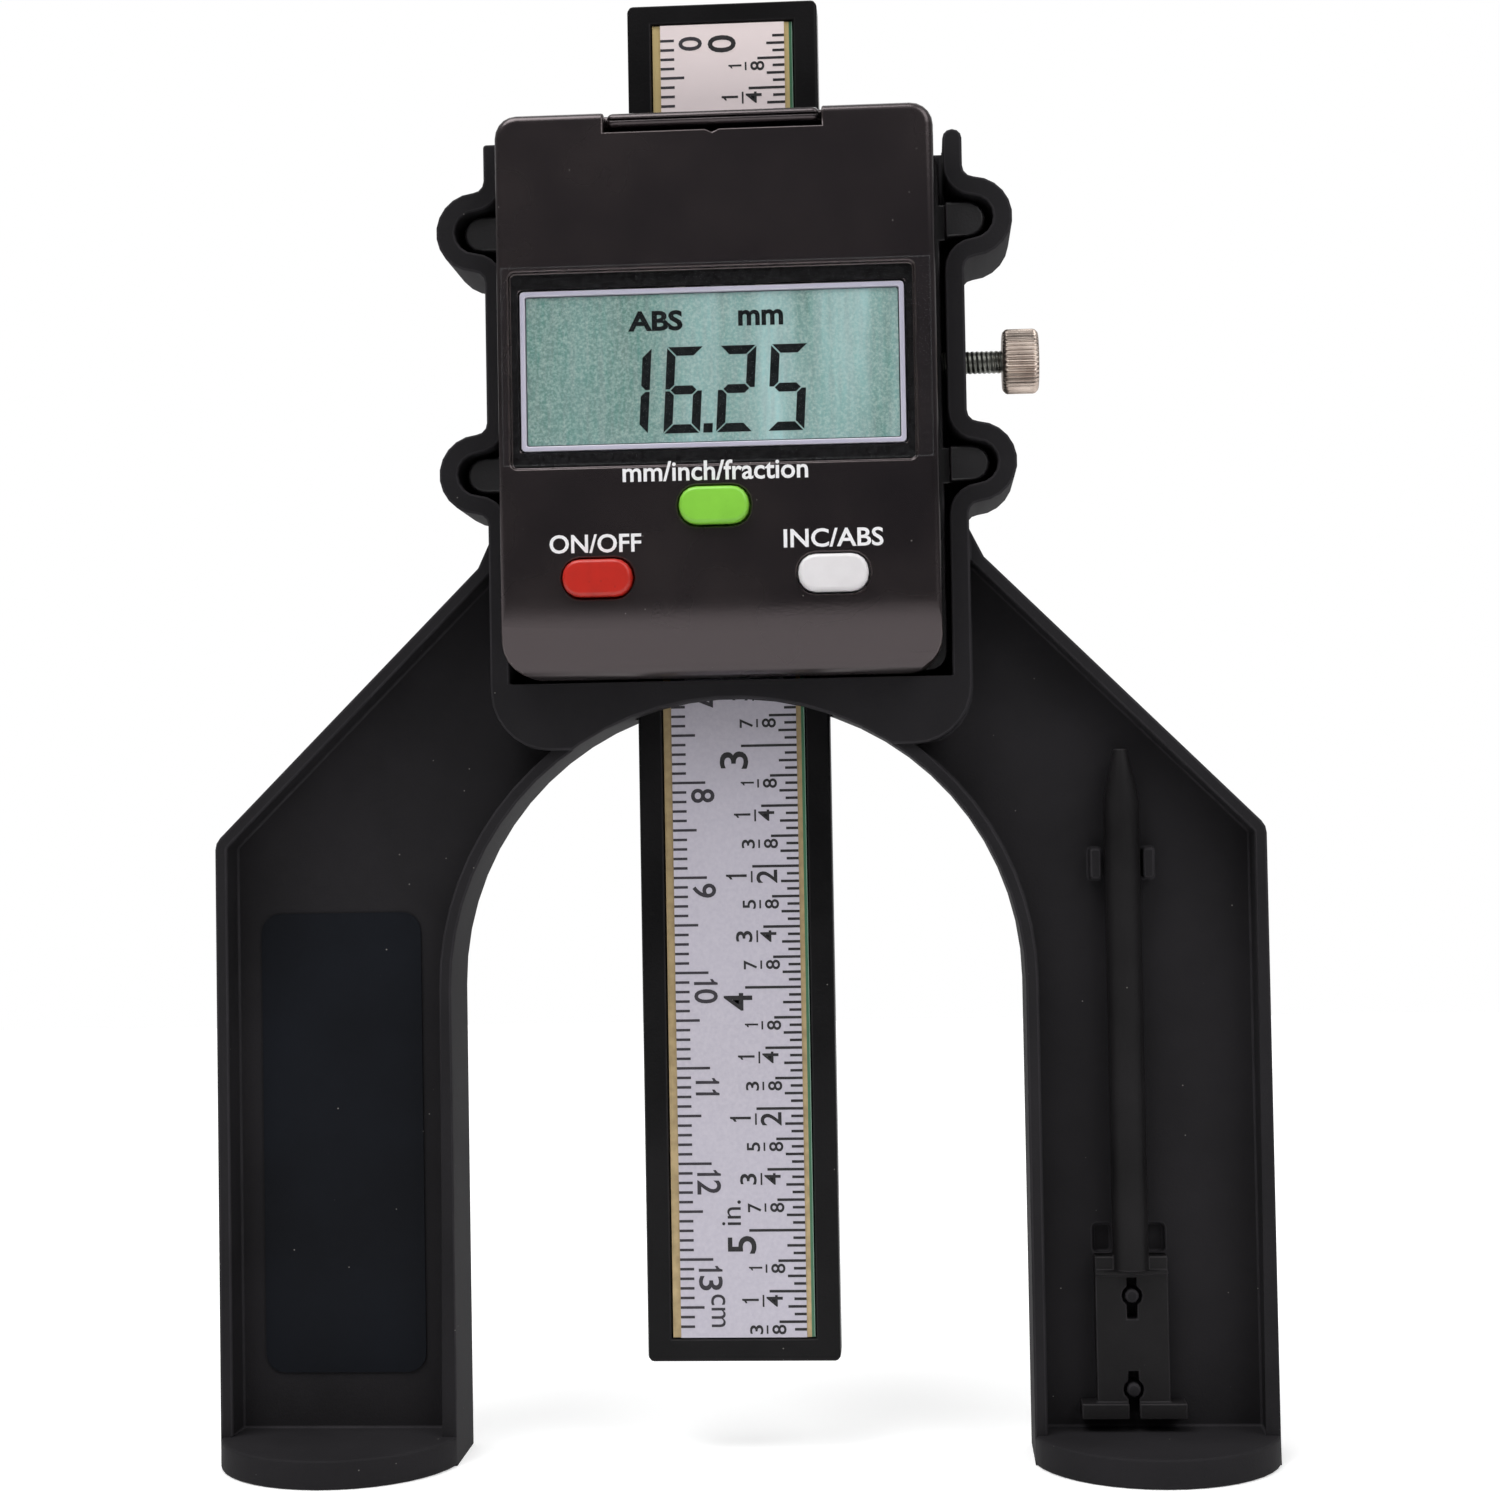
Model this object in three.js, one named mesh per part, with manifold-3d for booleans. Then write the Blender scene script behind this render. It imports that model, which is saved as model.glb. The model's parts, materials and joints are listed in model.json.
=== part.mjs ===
// Digital depth gauge that stands on two feet, in millimetres.
// X runs to the right, Y to the back and Z up; the origin is on the ground between the feet.
import * as THREE from 'three';
import { mergeVertices } from 'three/addons/utils/BufferGeometryUtils.js';
import Module from 'manifold-3d';

const wasm = await Module();
wasm.setup();

// General clearances
const facetSag = 0.04;
const seatGap = 0.3;
const glueGap = 0.05;
const overrun = 1;

// Legs, arch and foot plates of the base
const outerWidth = 110;
const openingWidth = 60;
const archCentreZ = 49.5;
const shoulderZ = 65.3;
const shoulderRadius = 1.8;
const shoulderWeb = 1.5;
const legDepth = 10;
const legRim = 1.3;
const trayDepth = 4.2;
const trayFloor = 1.6;
const plateHeight = 3;
const plateEdge = 0.3;
const footBulge = 10;

// Tower of the base, with its lug loops
const towerWidth = 50.1;
const towerWall = 2;
const towerTop = 138.1;
const towerBottom = 74.4;
const towerCorner = 6;
const towerCrown = 0.95;
const towerLeftCrown = 0.3;
const towerFront = -2;
const rearWall = 1.6;
const archWall = 1.5;
const panelBack = 0.4;
const panelSlant = 1.2;
const loopRadius = 4.2;
const loopReach = 0.9;
const loopFillet = 1.2;
const loopFloor = 2.6;
const lugLowerZ = 103.4;
const lugUpperZ = 128.9;

// Beam with its scale
const beamWidth = 20.2;
const beamThickness = 4.2;
const beamFront = 2.5;
const beamLength = 143.4;
const beamBottomZ = 10.2;
const beamEdge = 0.3;
const beamCorner = 0.6;
const beamPlay = 0.3;
const recessWidth = 15.2;
const recessDepth = 1;
const recessTopWall = 2;
const recessBottomWall = 2.3;
const circuitThickness = 0.6;
const circuitPlay = 0.15;
const scaleLabelWidth = 13.2;
const scaleLabelThickness = 0.15;

// Front cover of the module
const coverX = -0.45;
const coverWidth = 45;
const coverBottomZ = 81.6;
const coverHeight = 57.9;
const coverFront = -8;
const coverBack = 0.3;
const coverWall = 1.4;
const coverEdge = 0.9;
const coverTopCorner = 2.3;
const coverBottomCorner = 3.6;
const coverSlopeHeight = 6.8;
const coverSlopeDepth = 2;
const coverCrease = 11;
const coverToe = 2.2;

// Screen
const screenX = -0.9;
const screenWidth = 39.4;
const screenHeight = 16.5;
const screenZ = 113.05;
const screenCorner = 0.4;
const screenInset = 0.7;
const screenFrameWidth = 0.55;
const screenFrameDepth = 2;
const glassThickness = 1.5;
const glassInset = 0.3;
const glassPlay = 0.1;
const windowPlay = 0.15;
const screenRecessWidth = 41.4;
const screenRecessHeight = 20.2;
const screenRecessDepth = 0.6;
const screenRecessCorner = 0.6;
const filmHeight = 20.6;
const filmLift = 0.35;
const filmThickness = 0.12;
const filmCorner = 1.5;
const connectorWidth = 33;
const connectorThickness = 2;
const connectorRise = 1;

// Buttons and their switches
const buttonWidth = 7.1;
const buttonHeight = 3.8;
const buttonCorner = 1.75;
const buttonEdge = 0.45;
const buttonProud = 1;
const buttonPlay = 0.2;
const buttonFlange = 0.6;
const buttonFlangeDepth = 0.8;
const buttonSpacing = 12;
const buttonShift = -0.4;
const unitsButtonZ = 98.75;
const sideButtonZ = 91.6;
const stemRadius = 1.3;
const plungerRadius = 1;
const plungerLength = 1.7;
const plungerDip = 0.7;
const switchSide = 4.5;
const switchHeight = 1.7;
const switchWellPlay = 0.3;
const switchWellFloor = 0.15;

// Circuit board
const boardWidth = 34.6;
const boardThickness = 1;
const boardBottomZ = 84.3;
const boardTopZ = 137;
const boardCorner = 0.8;
const chipSide = 8;
const chipThickness = 1.2;
const chipZ = 113;
const chipOffset = 9;

// Battery, its drawer and its contacts
const cellRadius = 10;
const cellCanDepth = 2.6;
const cellCapDepth = 0.6;
const cellCapRadius = 8.8;
const cellEdge = 0.3;
const cellPlay = 0.15;
const cellFront = -4.6;
const drawerSide = 0.9;
const drawerFloor = 0.35;
const drawerLedge = 3;
const drawerBackInset = 0.1;
const drawerLipHeight = 2;
const drawerLipGap = 0.5;
const drawerLipWidth = 21.8;
const drawerLipInset = 0.7;
const drawerLipEdge = 0.5;
const drawerLipCorner = 0.6;
const lipGrooveWidth = 0.2;
const lipGrooveDepth = 0.3;
const drawerLipBack = -1.1;
const drawerLipWing = 0.6;
const notchWidth = 22.4;
const nailNotch = 0.7;
const nailNotchDepth = 0.35;
const railWidth = 1;
const contactWidth = 2.4;
const contactThickness = 0.25;
const contactFoot = 2;
const contactRise = 2;
const contactTip = 0.8;

// Rear housing of the module
const housingWidth = 45.2;
const housingFront = 0.6;
const housingBottomZ = 82;
const housingTopZ = 138.9;
const housingCorner = 2;
const housingSlantWidth = 1.5;
const housingSlantHeight = 4;
const housingGap = 0.3;
const housingWall = 1.5;
const padGap = 0.3;
const padShift = 0.5;
const padFront = -0.9;
const padEdge = 0.4;

// Screws
const screwRadius = 0.95;
const screwHole = 1.2;
const screwHeadRadius = 1.9;
const screwHeadHeight = 1;
const screwHeadEdge = 0.25;
const screwHeadPlay = 0.25;
const screwSink = 0.15;
const screwSlot = 0.5;
const screwSlotDepth = 0.5;
const screwTip = 0.8;
const moduleScrewLength = 6;
const coverScrewLength = 8;
const coverScrewX = 19.4;
const coverScrewLift = 3.5;
const coverBossRadius = 2;

// Lock screw, its shoe, its insert and the beam's leaf spring
const lockZ = 114.8;
const lockShankRadius = 1.2;
const lockThreadDepth = 0.15;
const lockPitch = 0.5;
const lockHeadStart = 29;
const lockHeadLength = 3.8;
const lockHeadRadius = 3.4;
const lockHeadTeeth = 40;
const lockToothDepth = 0.16;
const lockHeadEdge = 0.25;
const lockHeadSkin = 0.6;
const lockPlay = 0.15;
const lockGap = 0.4;
const shoeLength = 2;
const shoeHeight = 5.6;
const shoeDepth = 2.8;
const shoeCorner = 0.4;
const shoeTravel = 1.1;
const insertRadius = 1.8;
const insertLength = 5.8;
const insertSink = 0.3;
const insertPlay = 0.1;
const springLength = 24;
const springDepth = 2.6;
const springThickness = 0.3;
const springBow = 1.2;
const springGap = 0.1;

// Magnets, blank label and stored probe
const magnetRadius = 4;
const magnetThickness = 2;
const magnetSink = 0.1;
const magnetPlay = 0.1;
const magnetSpacing = 12;
const legLabelMargin = 2.6;
const legLabelHeight = 48.7;
const legLabelBottomZ = 8.9;
const legLabelCorner = 2;
const legLabelThickness = 0.15;
const probeOffset = 2.2;
const probeRadius = 1.85;
const probeTipZ = 73.5;
const probeConeHeight = 5.2;
const probeTipRadius = 0.7;
const bracketWidth = 7.5;
const bracketTopZ = 21;
const bracketBottomZ = 4.4;
const bracketDepth = 2.2;
const bracketFootMargin = 3.6;
const bracketFootHeight = 1.6;
const bracketFootDepth = 2.9;
const bracketRidge = 0.3;
const bracketRidgeHeight = 0.5;
const bracketRidgeDrop = 1.4;
const slotWidth = 1.05;
const slotEyeRadius = 1.05;
const slotReach = 2.4;
const upperPegZ = 16.95;
const lowerPegZ = 7.3;
const pegRadius = 0.72;
const pegProud = 0.3;
const clipWidth = 1.2;
const clipBottomZ = 60;
const clipHeight = 3.2;
const clipGap = 0.3;
const fingerDip = 0.8;
const fingerWidth = 1.9;
const fingerHeight = 3;

// Sizes that follow from those above
const outerHalf = outerWidth / 2;
const openingHalf = openingWidth / 2;
const towerHalf = towerWidth / 2;
const cavityBack = legDepth - rearWall;
const legX = (outerHalf + openingHalf) / 2;
const trayInner = openingHalf + legRim;
const trayOuter = outerHalf - legRim;
const legLabelWidth = trayOuter - trayInner - 2 * legLabelMargin;
const probeX = legX - probeOffset;
const bracketFootWidth = 2 * (probeX - trayInner - bracketFootMargin);
const loopX = towerHalf + loopReach;
const padX = loopX - padShift;
const beamHalf = beamWidth / 2;
const beamBack = beamFront + beamThickness;
const beamMiddleY = beamFront + beamThickness / 2;
const beamTopZ = beamBottomZ + beamLength;
const coverTopZ = coverBottomZ + coverHeight;
const coverInner = coverFront + coverWall;
const panelTopZ = coverBottomZ - seatGap;
const boardBack = beamFront - beamPlay;
const boardFront = boardBack - boardThickness;
const screenFront = coverFront + screenInset;
const glassFront = screenFront + glassInset;
const glassBack = glassFront + glassThickness;
const flangeFront = coverInner + buttonPlay;
const switchBack = boardFront - glueGap;
const switchFront = switchBack - switchHeight;
const plungerFront = switchFront + plungerDip - plungerLength;
const ringOuter = cellRadius + cellPlay + drawerSide;
const cellZ = coverTopZ - drawerLipHeight - drawerSide / 2 - cellRadius;
const canBack = cellFront + cellCanDepth;
const lipBottomZ = coverTopZ - drawerLipHeight;
const notchZ = lipBottomZ - cellPlay;
const housingHalf = housingWidth / 2;
const housingBack = cavityBack - housingGap;
const padRadius = loopRadius - towerWall - padGap;
const padBack = legDepth - loopFloor - housingGap;
const shoeStart = beamHalf + lockGap;
const shoePocketEnd = shoeStart + shoeLength + shoeTravel;
const shankStart = shoeStart + shoeLength + lockPlay;
const headEnd = lockHeadStart + lockHeadLength;
const insertEnd = housingHalf - insertSink;
const springPocketEnd = beamHalf + springGap + springBow + springThickness + seatGap;
const probeBack = trayDepth - seatGap;

// Finishes
const blackPlastic = { color: 0x232124, roughness: 0.55 };
const darkPlastic = { color: 0x1a191b, roughness: 0.6 };
const beamPlastic = { color: 0x18181a, roughness: 0.5 };
const greenLaminate = { color: 0x2f6b4a, roughness: 0.45 };
const silverPaper = { color: 0xc9c4d0, roughness: 0.5 };
const labelStock = { color: 0x1b1e25, roughness: 0.6 };
const paleGlass = { color: 0x97c2b4, roughness: 0.15 };
const silverFrame = { color: 0xd8d4e0, roughness: 0.35 };
const clearFilm = { color: 0xf4f6f8, roughness: 0.1, transparent: true, opacity: 0.2 };
const steel = { color: 0xb9bcc0, roughness: 0.3, metalness: 1 };
const darkSteel = { color: 0x2c302c, roughness: 0.4, metalness: 1 };
const nickel = { color: 0xa8968c, roughness: 0.35, metalness: 1 };
const brass = { color: 0xb08d4a, roughness: 0.35, metalness: 1 };
const greyRubber = { color: 0x4a4a50, roughness: 0.8 };
const greenCap = { color: 0x6cc432, roughness: 0.4 };
const redCap = { color: 0xd2321e, roughness: 0.4 };
const whiteCap = { color: 0xf0eeee, roughness: 0.4 };

// Solids: a closed mesh goes in, a cut or joined one comes out
function solid(geometry) {
  geometry.deleteAttribute('normal');
  geometry.deleteAttribute('uv');
  const merged = mergeVertices(geometry);
  const corners = merged.index.array;
  const kept = [];
  for (let i = 0; i < corners.length; i += 3) {
    const [a, b, c] = [corners[i], corners[i + 1], corners[i + 2]];
    if (a !== b && b !== c && c !== a) {
      kept.push(a, b, c);
    }
  }
  const vertProperties = merged.attributes.position.array;
  return new wasm.Manifold(new wasm.Mesh({ numProp: 3, vertProperties, triVerts: new Uint32Array(kept) }));
}

function join(first, ...others) {
  return others.reduce((sum, other) => sum.add(other), first);
}

function cut(first, ...others) {
  return others.reduce((rest, other) => rest.subtract(other), first);
}

function piece(name, shape, finish, x = 0, y = 0, z = 0) {
  const { vertProperties, triVerts } = shape.getMesh();
  const geometry = new THREE.BufferGeometry();
  geometry.setAttribute('position', new THREE.BufferAttribute(vertProperties, 3));
  geometry.setIndex(new THREE.BufferAttribute(triVerts, 1));
  geometry.computeVertexNormals();
  const mesh = new THREE.Mesh(geometry, new THREE.MeshStandardMaterial(finish));
  mesh.name = name;
  mesh.position.set(x, y, z);
  return mesh;
}

// Outlines: arcs get as many points as the facet sag asks for
function facets(radius, angle) {
  return Math.max(2, Math.ceil(Math.abs(angle) / (2 * Math.acos(1 - facetSag / radius))));
}

function point(x, y) {
  return new THREE.Vector2(x, y);
}

function arc(x, y, radius, from, to) {
  const count = facets(radius, to - from);
  return Array.from({ length: count + 1 }, (_, i) => {
    const angle = from + (to - from) * i / count;
    return point(x + radius * Math.cos(angle), y + radius * Math.sin(angle));
  });
}

function circle(x, y, radius) {
  return arc(x, y, radius, 0, 2 * Math.PI).slice(1);
}

function roundedBox(x0, x1, y0, y1, lowerCorner, upperCorner = lowerCorner) {
  return [
    ...arc(x0 + lowerCorner, y0 + lowerCorner, lowerCorner, -Math.PI, -Math.PI / 2),
    ...arc(x1 - lowerCorner, y0 + lowerCorner, lowerCorner, -Math.PI / 2, 0),
    ...arc(x1 - upperCorner, y1 - upperCorner, upperCorner, 0, Math.PI / 2),
    ...arc(x0 + upperCorner, y1 - upperCorner, upperCorner, Math.PI / 2, Math.PI),
  ];
}

function centredBox(x, y, width, height, corner) {
  return roundedBox(x - width / 2, x + width / 2, y - height / 2, y + height / 2, corner);
}

function mirrored(points) {
  return points.map((p) => point(-p.x, p.y)).reverse();
}

function withoutDoubles(points) {
  return points.filter((p, i) => p.distanceTo(points.at(i - 1)) > facetSag / 100);
}

// Prisms: an outline carried along one axis, with rounded end edges where an edge radius is given
function extruded(points, length, edge) {
  return new THREE.ExtrudeGeometry(new THREE.Shape(withoutDoubles(points)), {
    depth: length - 2 * edge,
    bevelEnabled: edge > 0,
    bevelThickness: edge,
    bevelSize: edge,
    bevelOffset: -edge,
    bevelSegments: edge > 0 ? facets(edge, Math.PI / 2) : 0,
    steps: 1,
  });
}

function prismY(points, y0, y1, edge = 0) {
  return solid(extruded(points, y1 - y0, edge).rotateX(Math.PI / 2).translate(0, y1 - edge, 0));
}

function prismZ(points, z0, z1, edge = 0) {
  return solid(extruded(points, z1 - z0, edge).translate(0, 0, z0 + edge));
}

const upright = new THREE.Matrix4().makeBasis(
  new THREE.Vector3(0, 1, 0),
  new THREE.Vector3(0, 0, 1),
  new THREE.Vector3(1, 0, 0),
);

function prismX(points, x0, x1, edge = 0) {
  return solid(extruded(points, x1 - x0, edge).applyMatrix4(upright).translate(x0 + edge, 0, 0));
}

function block(x0, x1, y0, y1, z0, z1) {
  const size = [x1 - x0, y1 - y0, z1 - z0];
  return solid(new THREE.BoxGeometry(...size).translate((x0 + x1) / 2, (y0 + y1) / 2, (z0 + z1) / 2));
}

// Turned pieces: a profile of radius and height, spun about the axis that the name gives
function spunY(profile, x = 0, z = 0) {
  const widest = Math.max(...profile.map((p) => p.x));
  return new THREE.LatheGeometry(profile, 2 * facets(widest, Math.PI)).translate(x, 0, z);
}

function rodProfile(radius, from, to) {
  return [point(0, from), point(radius, from), point(radius, to), point(0, to)];
}

function rodY(x, z, radius, y0, y1) {
  return solid(spunY(rodProfile(radius, y0, y1), x, z));
}

function rodX(y, z, radius, x0, x1) {
  return solid(spunY(rodProfile(radius, x0, x1)).rotateZ(-Math.PI / 2).translate(0, y, z));
}

function rodZ(x, y, radius, z0, z1) {
  return solid(spunY(rodProfile(radius, z0, z1)).rotateX(Math.PI / 2).translate(x, y, 0));
}

// Base: frame of two tray legs under 45 degree shoulders
const shoulderCentreX = outerHalf - shoulderRadius;
const shoulderCentreZ = shoulderZ - shoulderRadius * Math.tan(Math.PI / 8);

function chamferZ(x, inset) {
  return outerHalf + shoulderZ - inset * Math.SQRT2 - x;
}

function frameOutline() {
  const right = [
    point(outerHalf, 0),
    ...arc(shoulderCentreX, shoulderCentreZ, shoulderRadius, 0, Math.PI / 4),
    point(towerHalf + shoulderWeb, chamferZ(towerHalf + shoulderWeb, 0)),
    point(towerHalf, chamferZ(towerHalf, 0) + shoulderWeb),
  ];
  return [...right, ...mirrored(right)];
}

function trayOutline() {
  const meetAngle = Math.asin((towerBottom - archCentreZ) / trayInner);
  return [
    point(trayInner, plateHeight),
    point(trayOuter, plateHeight),
    ...arc(shoulderCentreX, shoulderCentreZ, shoulderRadius - legRim, 0, Math.PI / 4),
    point(towerHalf, chamferZ(towerHalf, legRim)),
    point(trayInner * Math.cos(meetAngle), chamferZ(towerHalf, legRim)),
    ...arc(0, archCentreZ, trayInner, meetAngle, 0),
  ];
}

function plateOutline(x) {
  const half = (outerHalf - openingHalf) / 2;
  const radius = (half * half + footBulge * footBulge) / (2 * footBulge);
  const centreY = radius - footBulge;
  return [
    ...arc(x, centreY, radius, Math.atan2(-centreY, -half), Math.atan2(-centreY, half)),
    point(x + half, legDepth),
    point(x - half, legDepth),
  ];
}

// Base: tower wall that bulges out into two loops on each side, inset for its inner face
const filletX = towerHalf + loopFillet;
const filletRise = Math.sqrt((loopRadius + loopFillet) ** 2 - (filletX - loopX) ** 2);
const filletTurn = Math.atan2(filletRise, loopX - filletX);

function loopPath(z, inset) {
  return [
    ...arc(filletX, z - filletRise, loopFillet + inset, Math.PI, filletTurn),
    ...arc(loopX, z, loopRadius - inset, filletTurn - Math.PI, Math.PI - filletTurn),
    ...arc(filletX, z + filletRise, loopFillet + inset, -filletTurn, -Math.PI),
  ];
}

function towerOutline() {
  const [right, left] = [towerCrown, towerLeftCrown].map((crown) => [
    ...arc(towerHalf - towerCorner, towerBottom + towerCorner, towerCorner, -Math.PI / 2, 0),
    ...loopPath(lugLowerZ, 0),
    ...loopPath(lugUpperZ, 0),
    ...arc(towerHalf - crown, towerTop - crown, crown, 0, Math.PI / 2),
  ]);
  return [...right, ...mirrored(left)];
}

function towerInside() {
  const innerHalf = towerHalf - towerWall;
  const [right, left] = [towerCrown, towerLeftCrown].map((crown) => [
    point(innerHalf, panelTopZ),
    ...loopPath(lugLowerZ, towerWall),
    ...loopPath(lugUpperZ, towerWall),
    ...arc(innerHalf + crown, towerTop - crown, crown, Math.PI, Math.PI / 2),
    point(innerHalf + crown, towerTop + overrun),
  ]);
  return [...right, ...mirrored(left)];
}

function archOutline(radius) {
  return [
    point(-radius, -overrun),
    point(radius, -overrun),
    ...arc(0, archCentreZ, radius, 0, Math.PI),
  ];
}

function panelWedge() {
  const lean = panelSlant / (panelTopZ - towerBottom);
  const front = towerFront - overrun;
  return prismX([
    point(front, panelTopZ),
    point(front, towerBottom - overrun),
    point(towerFront + panelSlant + lean * overrun, towerBottom - overrun),
    point(towerFront, panelTopZ),
  ], -towerHalf - overrun, towerHalf + overrun);
}

// Base: all of it, with the pegs and clips that hold the probe
const lugZs = [lugLowerZ, lugUpperZ];
const sides = [-1, 1];
const lugs = lugZs.flatMap((z) => sides.map((side) => ({ x: side * padX, z })));
const magnets = sides.flatMap((leg) => sides.map((side) => leg * legX + side * magnetSpacing / 2));
const headPocketFront = legDepth - screwSink - screwHeadHeight - glueGap;

function bridgeBase() {
  const tray = trayOutline();
  const innerCorner = towerCorner - towerWall;
  const innerHalf = towerHalf - towerWall;
  const trays = [tray, mirrored(tray)].flatMap((outline) => [
    prismY(outline, -overrun, trayDepth),
    prismY(outline, trayDepth + trayFloor, legDepth + overrun),
  ]);
  const frame = cut(prismY(frameOutline(), 0, legDepth), ...trays);
  const plates = sides.map((side) => prismZ(plateOutline(side * legX), 0, plateHeight, plateEdge));
  const tower = cut(prismY(towerOutline(), towerFront, legDepth), panelWedge());
  const hollow = cut(
    prismY(roundedBox(-innerHalf, innerHalf, towerBottom + towerWall, panelTopZ + innerCorner, innerCorner),
      panelBack, cavityBack),
    prismY(archOutline(openingHalf + archWall), towerFront, legDepth),
  );
  const cavity = join(
    prismY(towerInside(), towerFront - overrun, legDepth - loopFloor),
    block(-innerHalf, innerHalf, towerFront - overrun, cavityBack, panelTopZ, towerTop + overrun),
    hollow,
  );
  const beamSlot = block(-beamHalf - beamPlay, beamHalf + beamPlay, beamFront - beamPlay, beamBack + beamPlay,
    archCentreZ, panelTopZ + overrun);
  const lockHole = rodX(beamMiddleY, lockZ, lockShankRadius + seatGap, innerHalf - overrun,
    towerHalf + overrun);
  const screwHoles = lugs.flatMap(({ x, z }) => [
    rodY(x, z, screwHole, padBack, legDepth + overrun),
    rodY(x, z, screwHeadRadius + screwHeadPlay, headPocketFront, legDepth + overrun),
  ]);
  const magnetHoles = magnets.map((x) => (
    rodZ(x, 0, magnetRadius + magnetPlay, -overrun, magnetSink + magnetThickness + glueGap)));
  const pegs = [lowerPegZ, upperPegZ].map((z) => (
    rodY(probeX, z, pegRadius, probeBack - bracketDepth - pegProud, trayDepth + trayFloor / 2)));
  const clipX = probeRadius + clipGap + clipWidth / 2;
  const clips = sides.map((side) => (
    prismY(centredBox(probeX + side * clipX, clipBottomZ + clipHeight / 2, clipWidth, clipHeight,
      clipWidth / 4), probeBack - probeRadius, trayDepth + trayFloor / 2)));
  const fingers = sides.map((side) => (
    prismY(centredBox(probeX + side * clipX, bracketTopZ + fingerHeight / 2, fingerWidth, fingerHeight,
      fingerWidth / 4), trayDepth - overrun, trayDepth + fingerDip)));
  const whole = cut(
    join(frame, tower, ...plates),
    cavity,
    prismY(archOutline(openingHalf), -footBulge - overrun, legDepth + overrun),
    beamSlot,
    lockHole,
    ...screwHoles,
    ...magnetHoles,
    ...fingers,
  );
  return piece('bridge_base', join(whole, ...pegs, ...clips), blackPlastic);
}

// Front cover
const buttonPlaces = [
  { use: 'units', dx: buttonShift, z: unitsButtonZ, finish: greenCap },
  { use: 'power', dx: buttonShift - buttonSpacing, z: sideButtonZ, finish: redCap },
  { use: 'mode', dx: buttonShift + buttonSpacing, z: sideButtonZ, finish: whiteCap },
];
const coverScrewZs = [housingBottomZ + coverScrewLift, housingTopZ - coverScrewLift];
const coverScrews = coverScrewZs.flatMap((z) => sides.map((side) => ({ x: side * coverScrewX, z })));
const coverScrewTop = housingBack - screwSink;
const coverScrewTipY = coverScrewTop - screwHeadHeight - coverScrewLength;

function coverSlope(inset) {
  const lean = Math.atan2(coverSlopeDepth, coverSlopeHeight);
  const front = coverFront + inset;
  const creaseZ = coverBottomZ + coverSlopeHeight + coverCrease * Math.tan(lean / 2);
  const toeY = front + coverSlopeDepth + coverToe / Math.cos(lean) - coverToe * Math.tan(lean);
  return prismX([
    point(front - overrun, creaseZ),
    point(front - overrun, coverBottomZ - overrun),
    point(toeY, coverBottomZ - overrun),
    ...arc(toeY, coverBottomZ + coverToe, coverToe, -Math.PI / 2, lean - Math.PI),
    ...arc(front + coverCrease, creaseZ, coverCrease, lean - Math.PI, -Math.PI),
  ], coverX - coverWidth, coverX + coverWidth);
}

function frontCover() {
  const half = coverWidth / 2;
  const innerHalf = half - coverWall;
  const body = cut(
    prismY(roundedBox(coverX - half, coverX + half, coverBottomZ, coverTopZ, coverBottomCorner,
      coverTopCorner), coverFront, coverBack + 2 * coverEdge, coverEdge),
    block(coverX - coverWidth, coverX + coverWidth, coverBack, coverBack + coverWidth, 0,
      coverTopZ + overrun),
    coverSlope(0),
  );
  const inside = cut(
    prismY(roundedBox(coverX - innerHalf, coverX + innerHalf, coverBottomZ + coverWall, coverTopZ - coverWall,
      coverBottomCorner - coverWall, coverTopCorner - coverWall), coverInner, coverBack + overrun),
    coverSlope(coverWall),
  );
  const railX = ringOuter + seatGap + railWidth / 2;
  const railZ = screenZ + screenRecessHeight / 2;
  const rails = sides.map((side) => coverX + side * railX).map((x) => (
    block(x - railWidth / 2, x + railWidth / 2, coverFront, canBack, railZ, coverTopZ)));
  const bosses = coverScrews.map(({ x, z }) => rodY(x, z, coverBossRadius, coverFront, coverBack));
  const inner = join(...rails, ...bosses).intersect(body);
  const recess = prismY(centredBox(screenX, screenZ, screenRecessWidth, screenRecessHeight,
    screenRecessCorner), coverFront - overrun, coverFront + screenRecessDepth);
  const window = prismY(centredBox(screenX, screenZ, screenWidth + 2 * windowPlay,
    screenHeight + 2 * windowPlay, screenCorner + windowPlay), coverFront - overrun, coverInner + overrun);
  const buttonHoles = buttonPlaces.map(({ dx, z }) => (
    prismY(centredBox(coverX + dx, z, buttonWidth + 2 * buttonPlay, buttonHeight + 2 * buttonPlay,
      buttonCorner + buttonPlay), coverFront - overrun, coverInner + overrun)));
  const notchHalf = notchWidth / 2;
  const notch = join(
    block(coverX - notchHalf, coverX + notchHalf, coverFront - overrun, drawerLipBack + cellPlay, notchZ,
      coverTopZ + overrun),
    block(coverX - notchHalf - drawerLipWing, coverX + notchHalf + drawerLipWing, coverInner,
      drawerLipBack + cellPlay, notchZ, coverTopZ + overrun),
  );
  const nick = prismY([
    point(coverX - nailNotch, notchZ),
    point(coverX, notchZ - nailNotchDepth),
    point(coverX + nailNotch, notchZ),
    point(coverX + nailNotch, notchZ + overrun),
    point(coverX - nailNotch, notchZ + overrun),
  ], coverFront - overrun, coverInner + overrun);
  const screwHoles = coverScrews.map(({ x, z }) => (
    rodY(x, z, screwHole, coverScrewTipY - seatGap, coverBack + overrun)));
  return piece('front_cover', cut(join(cut(body, inside), inner), recess, window, ...buttonHoles, notch, nick,
    ...screwHoles), blackPlastic);
}

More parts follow.
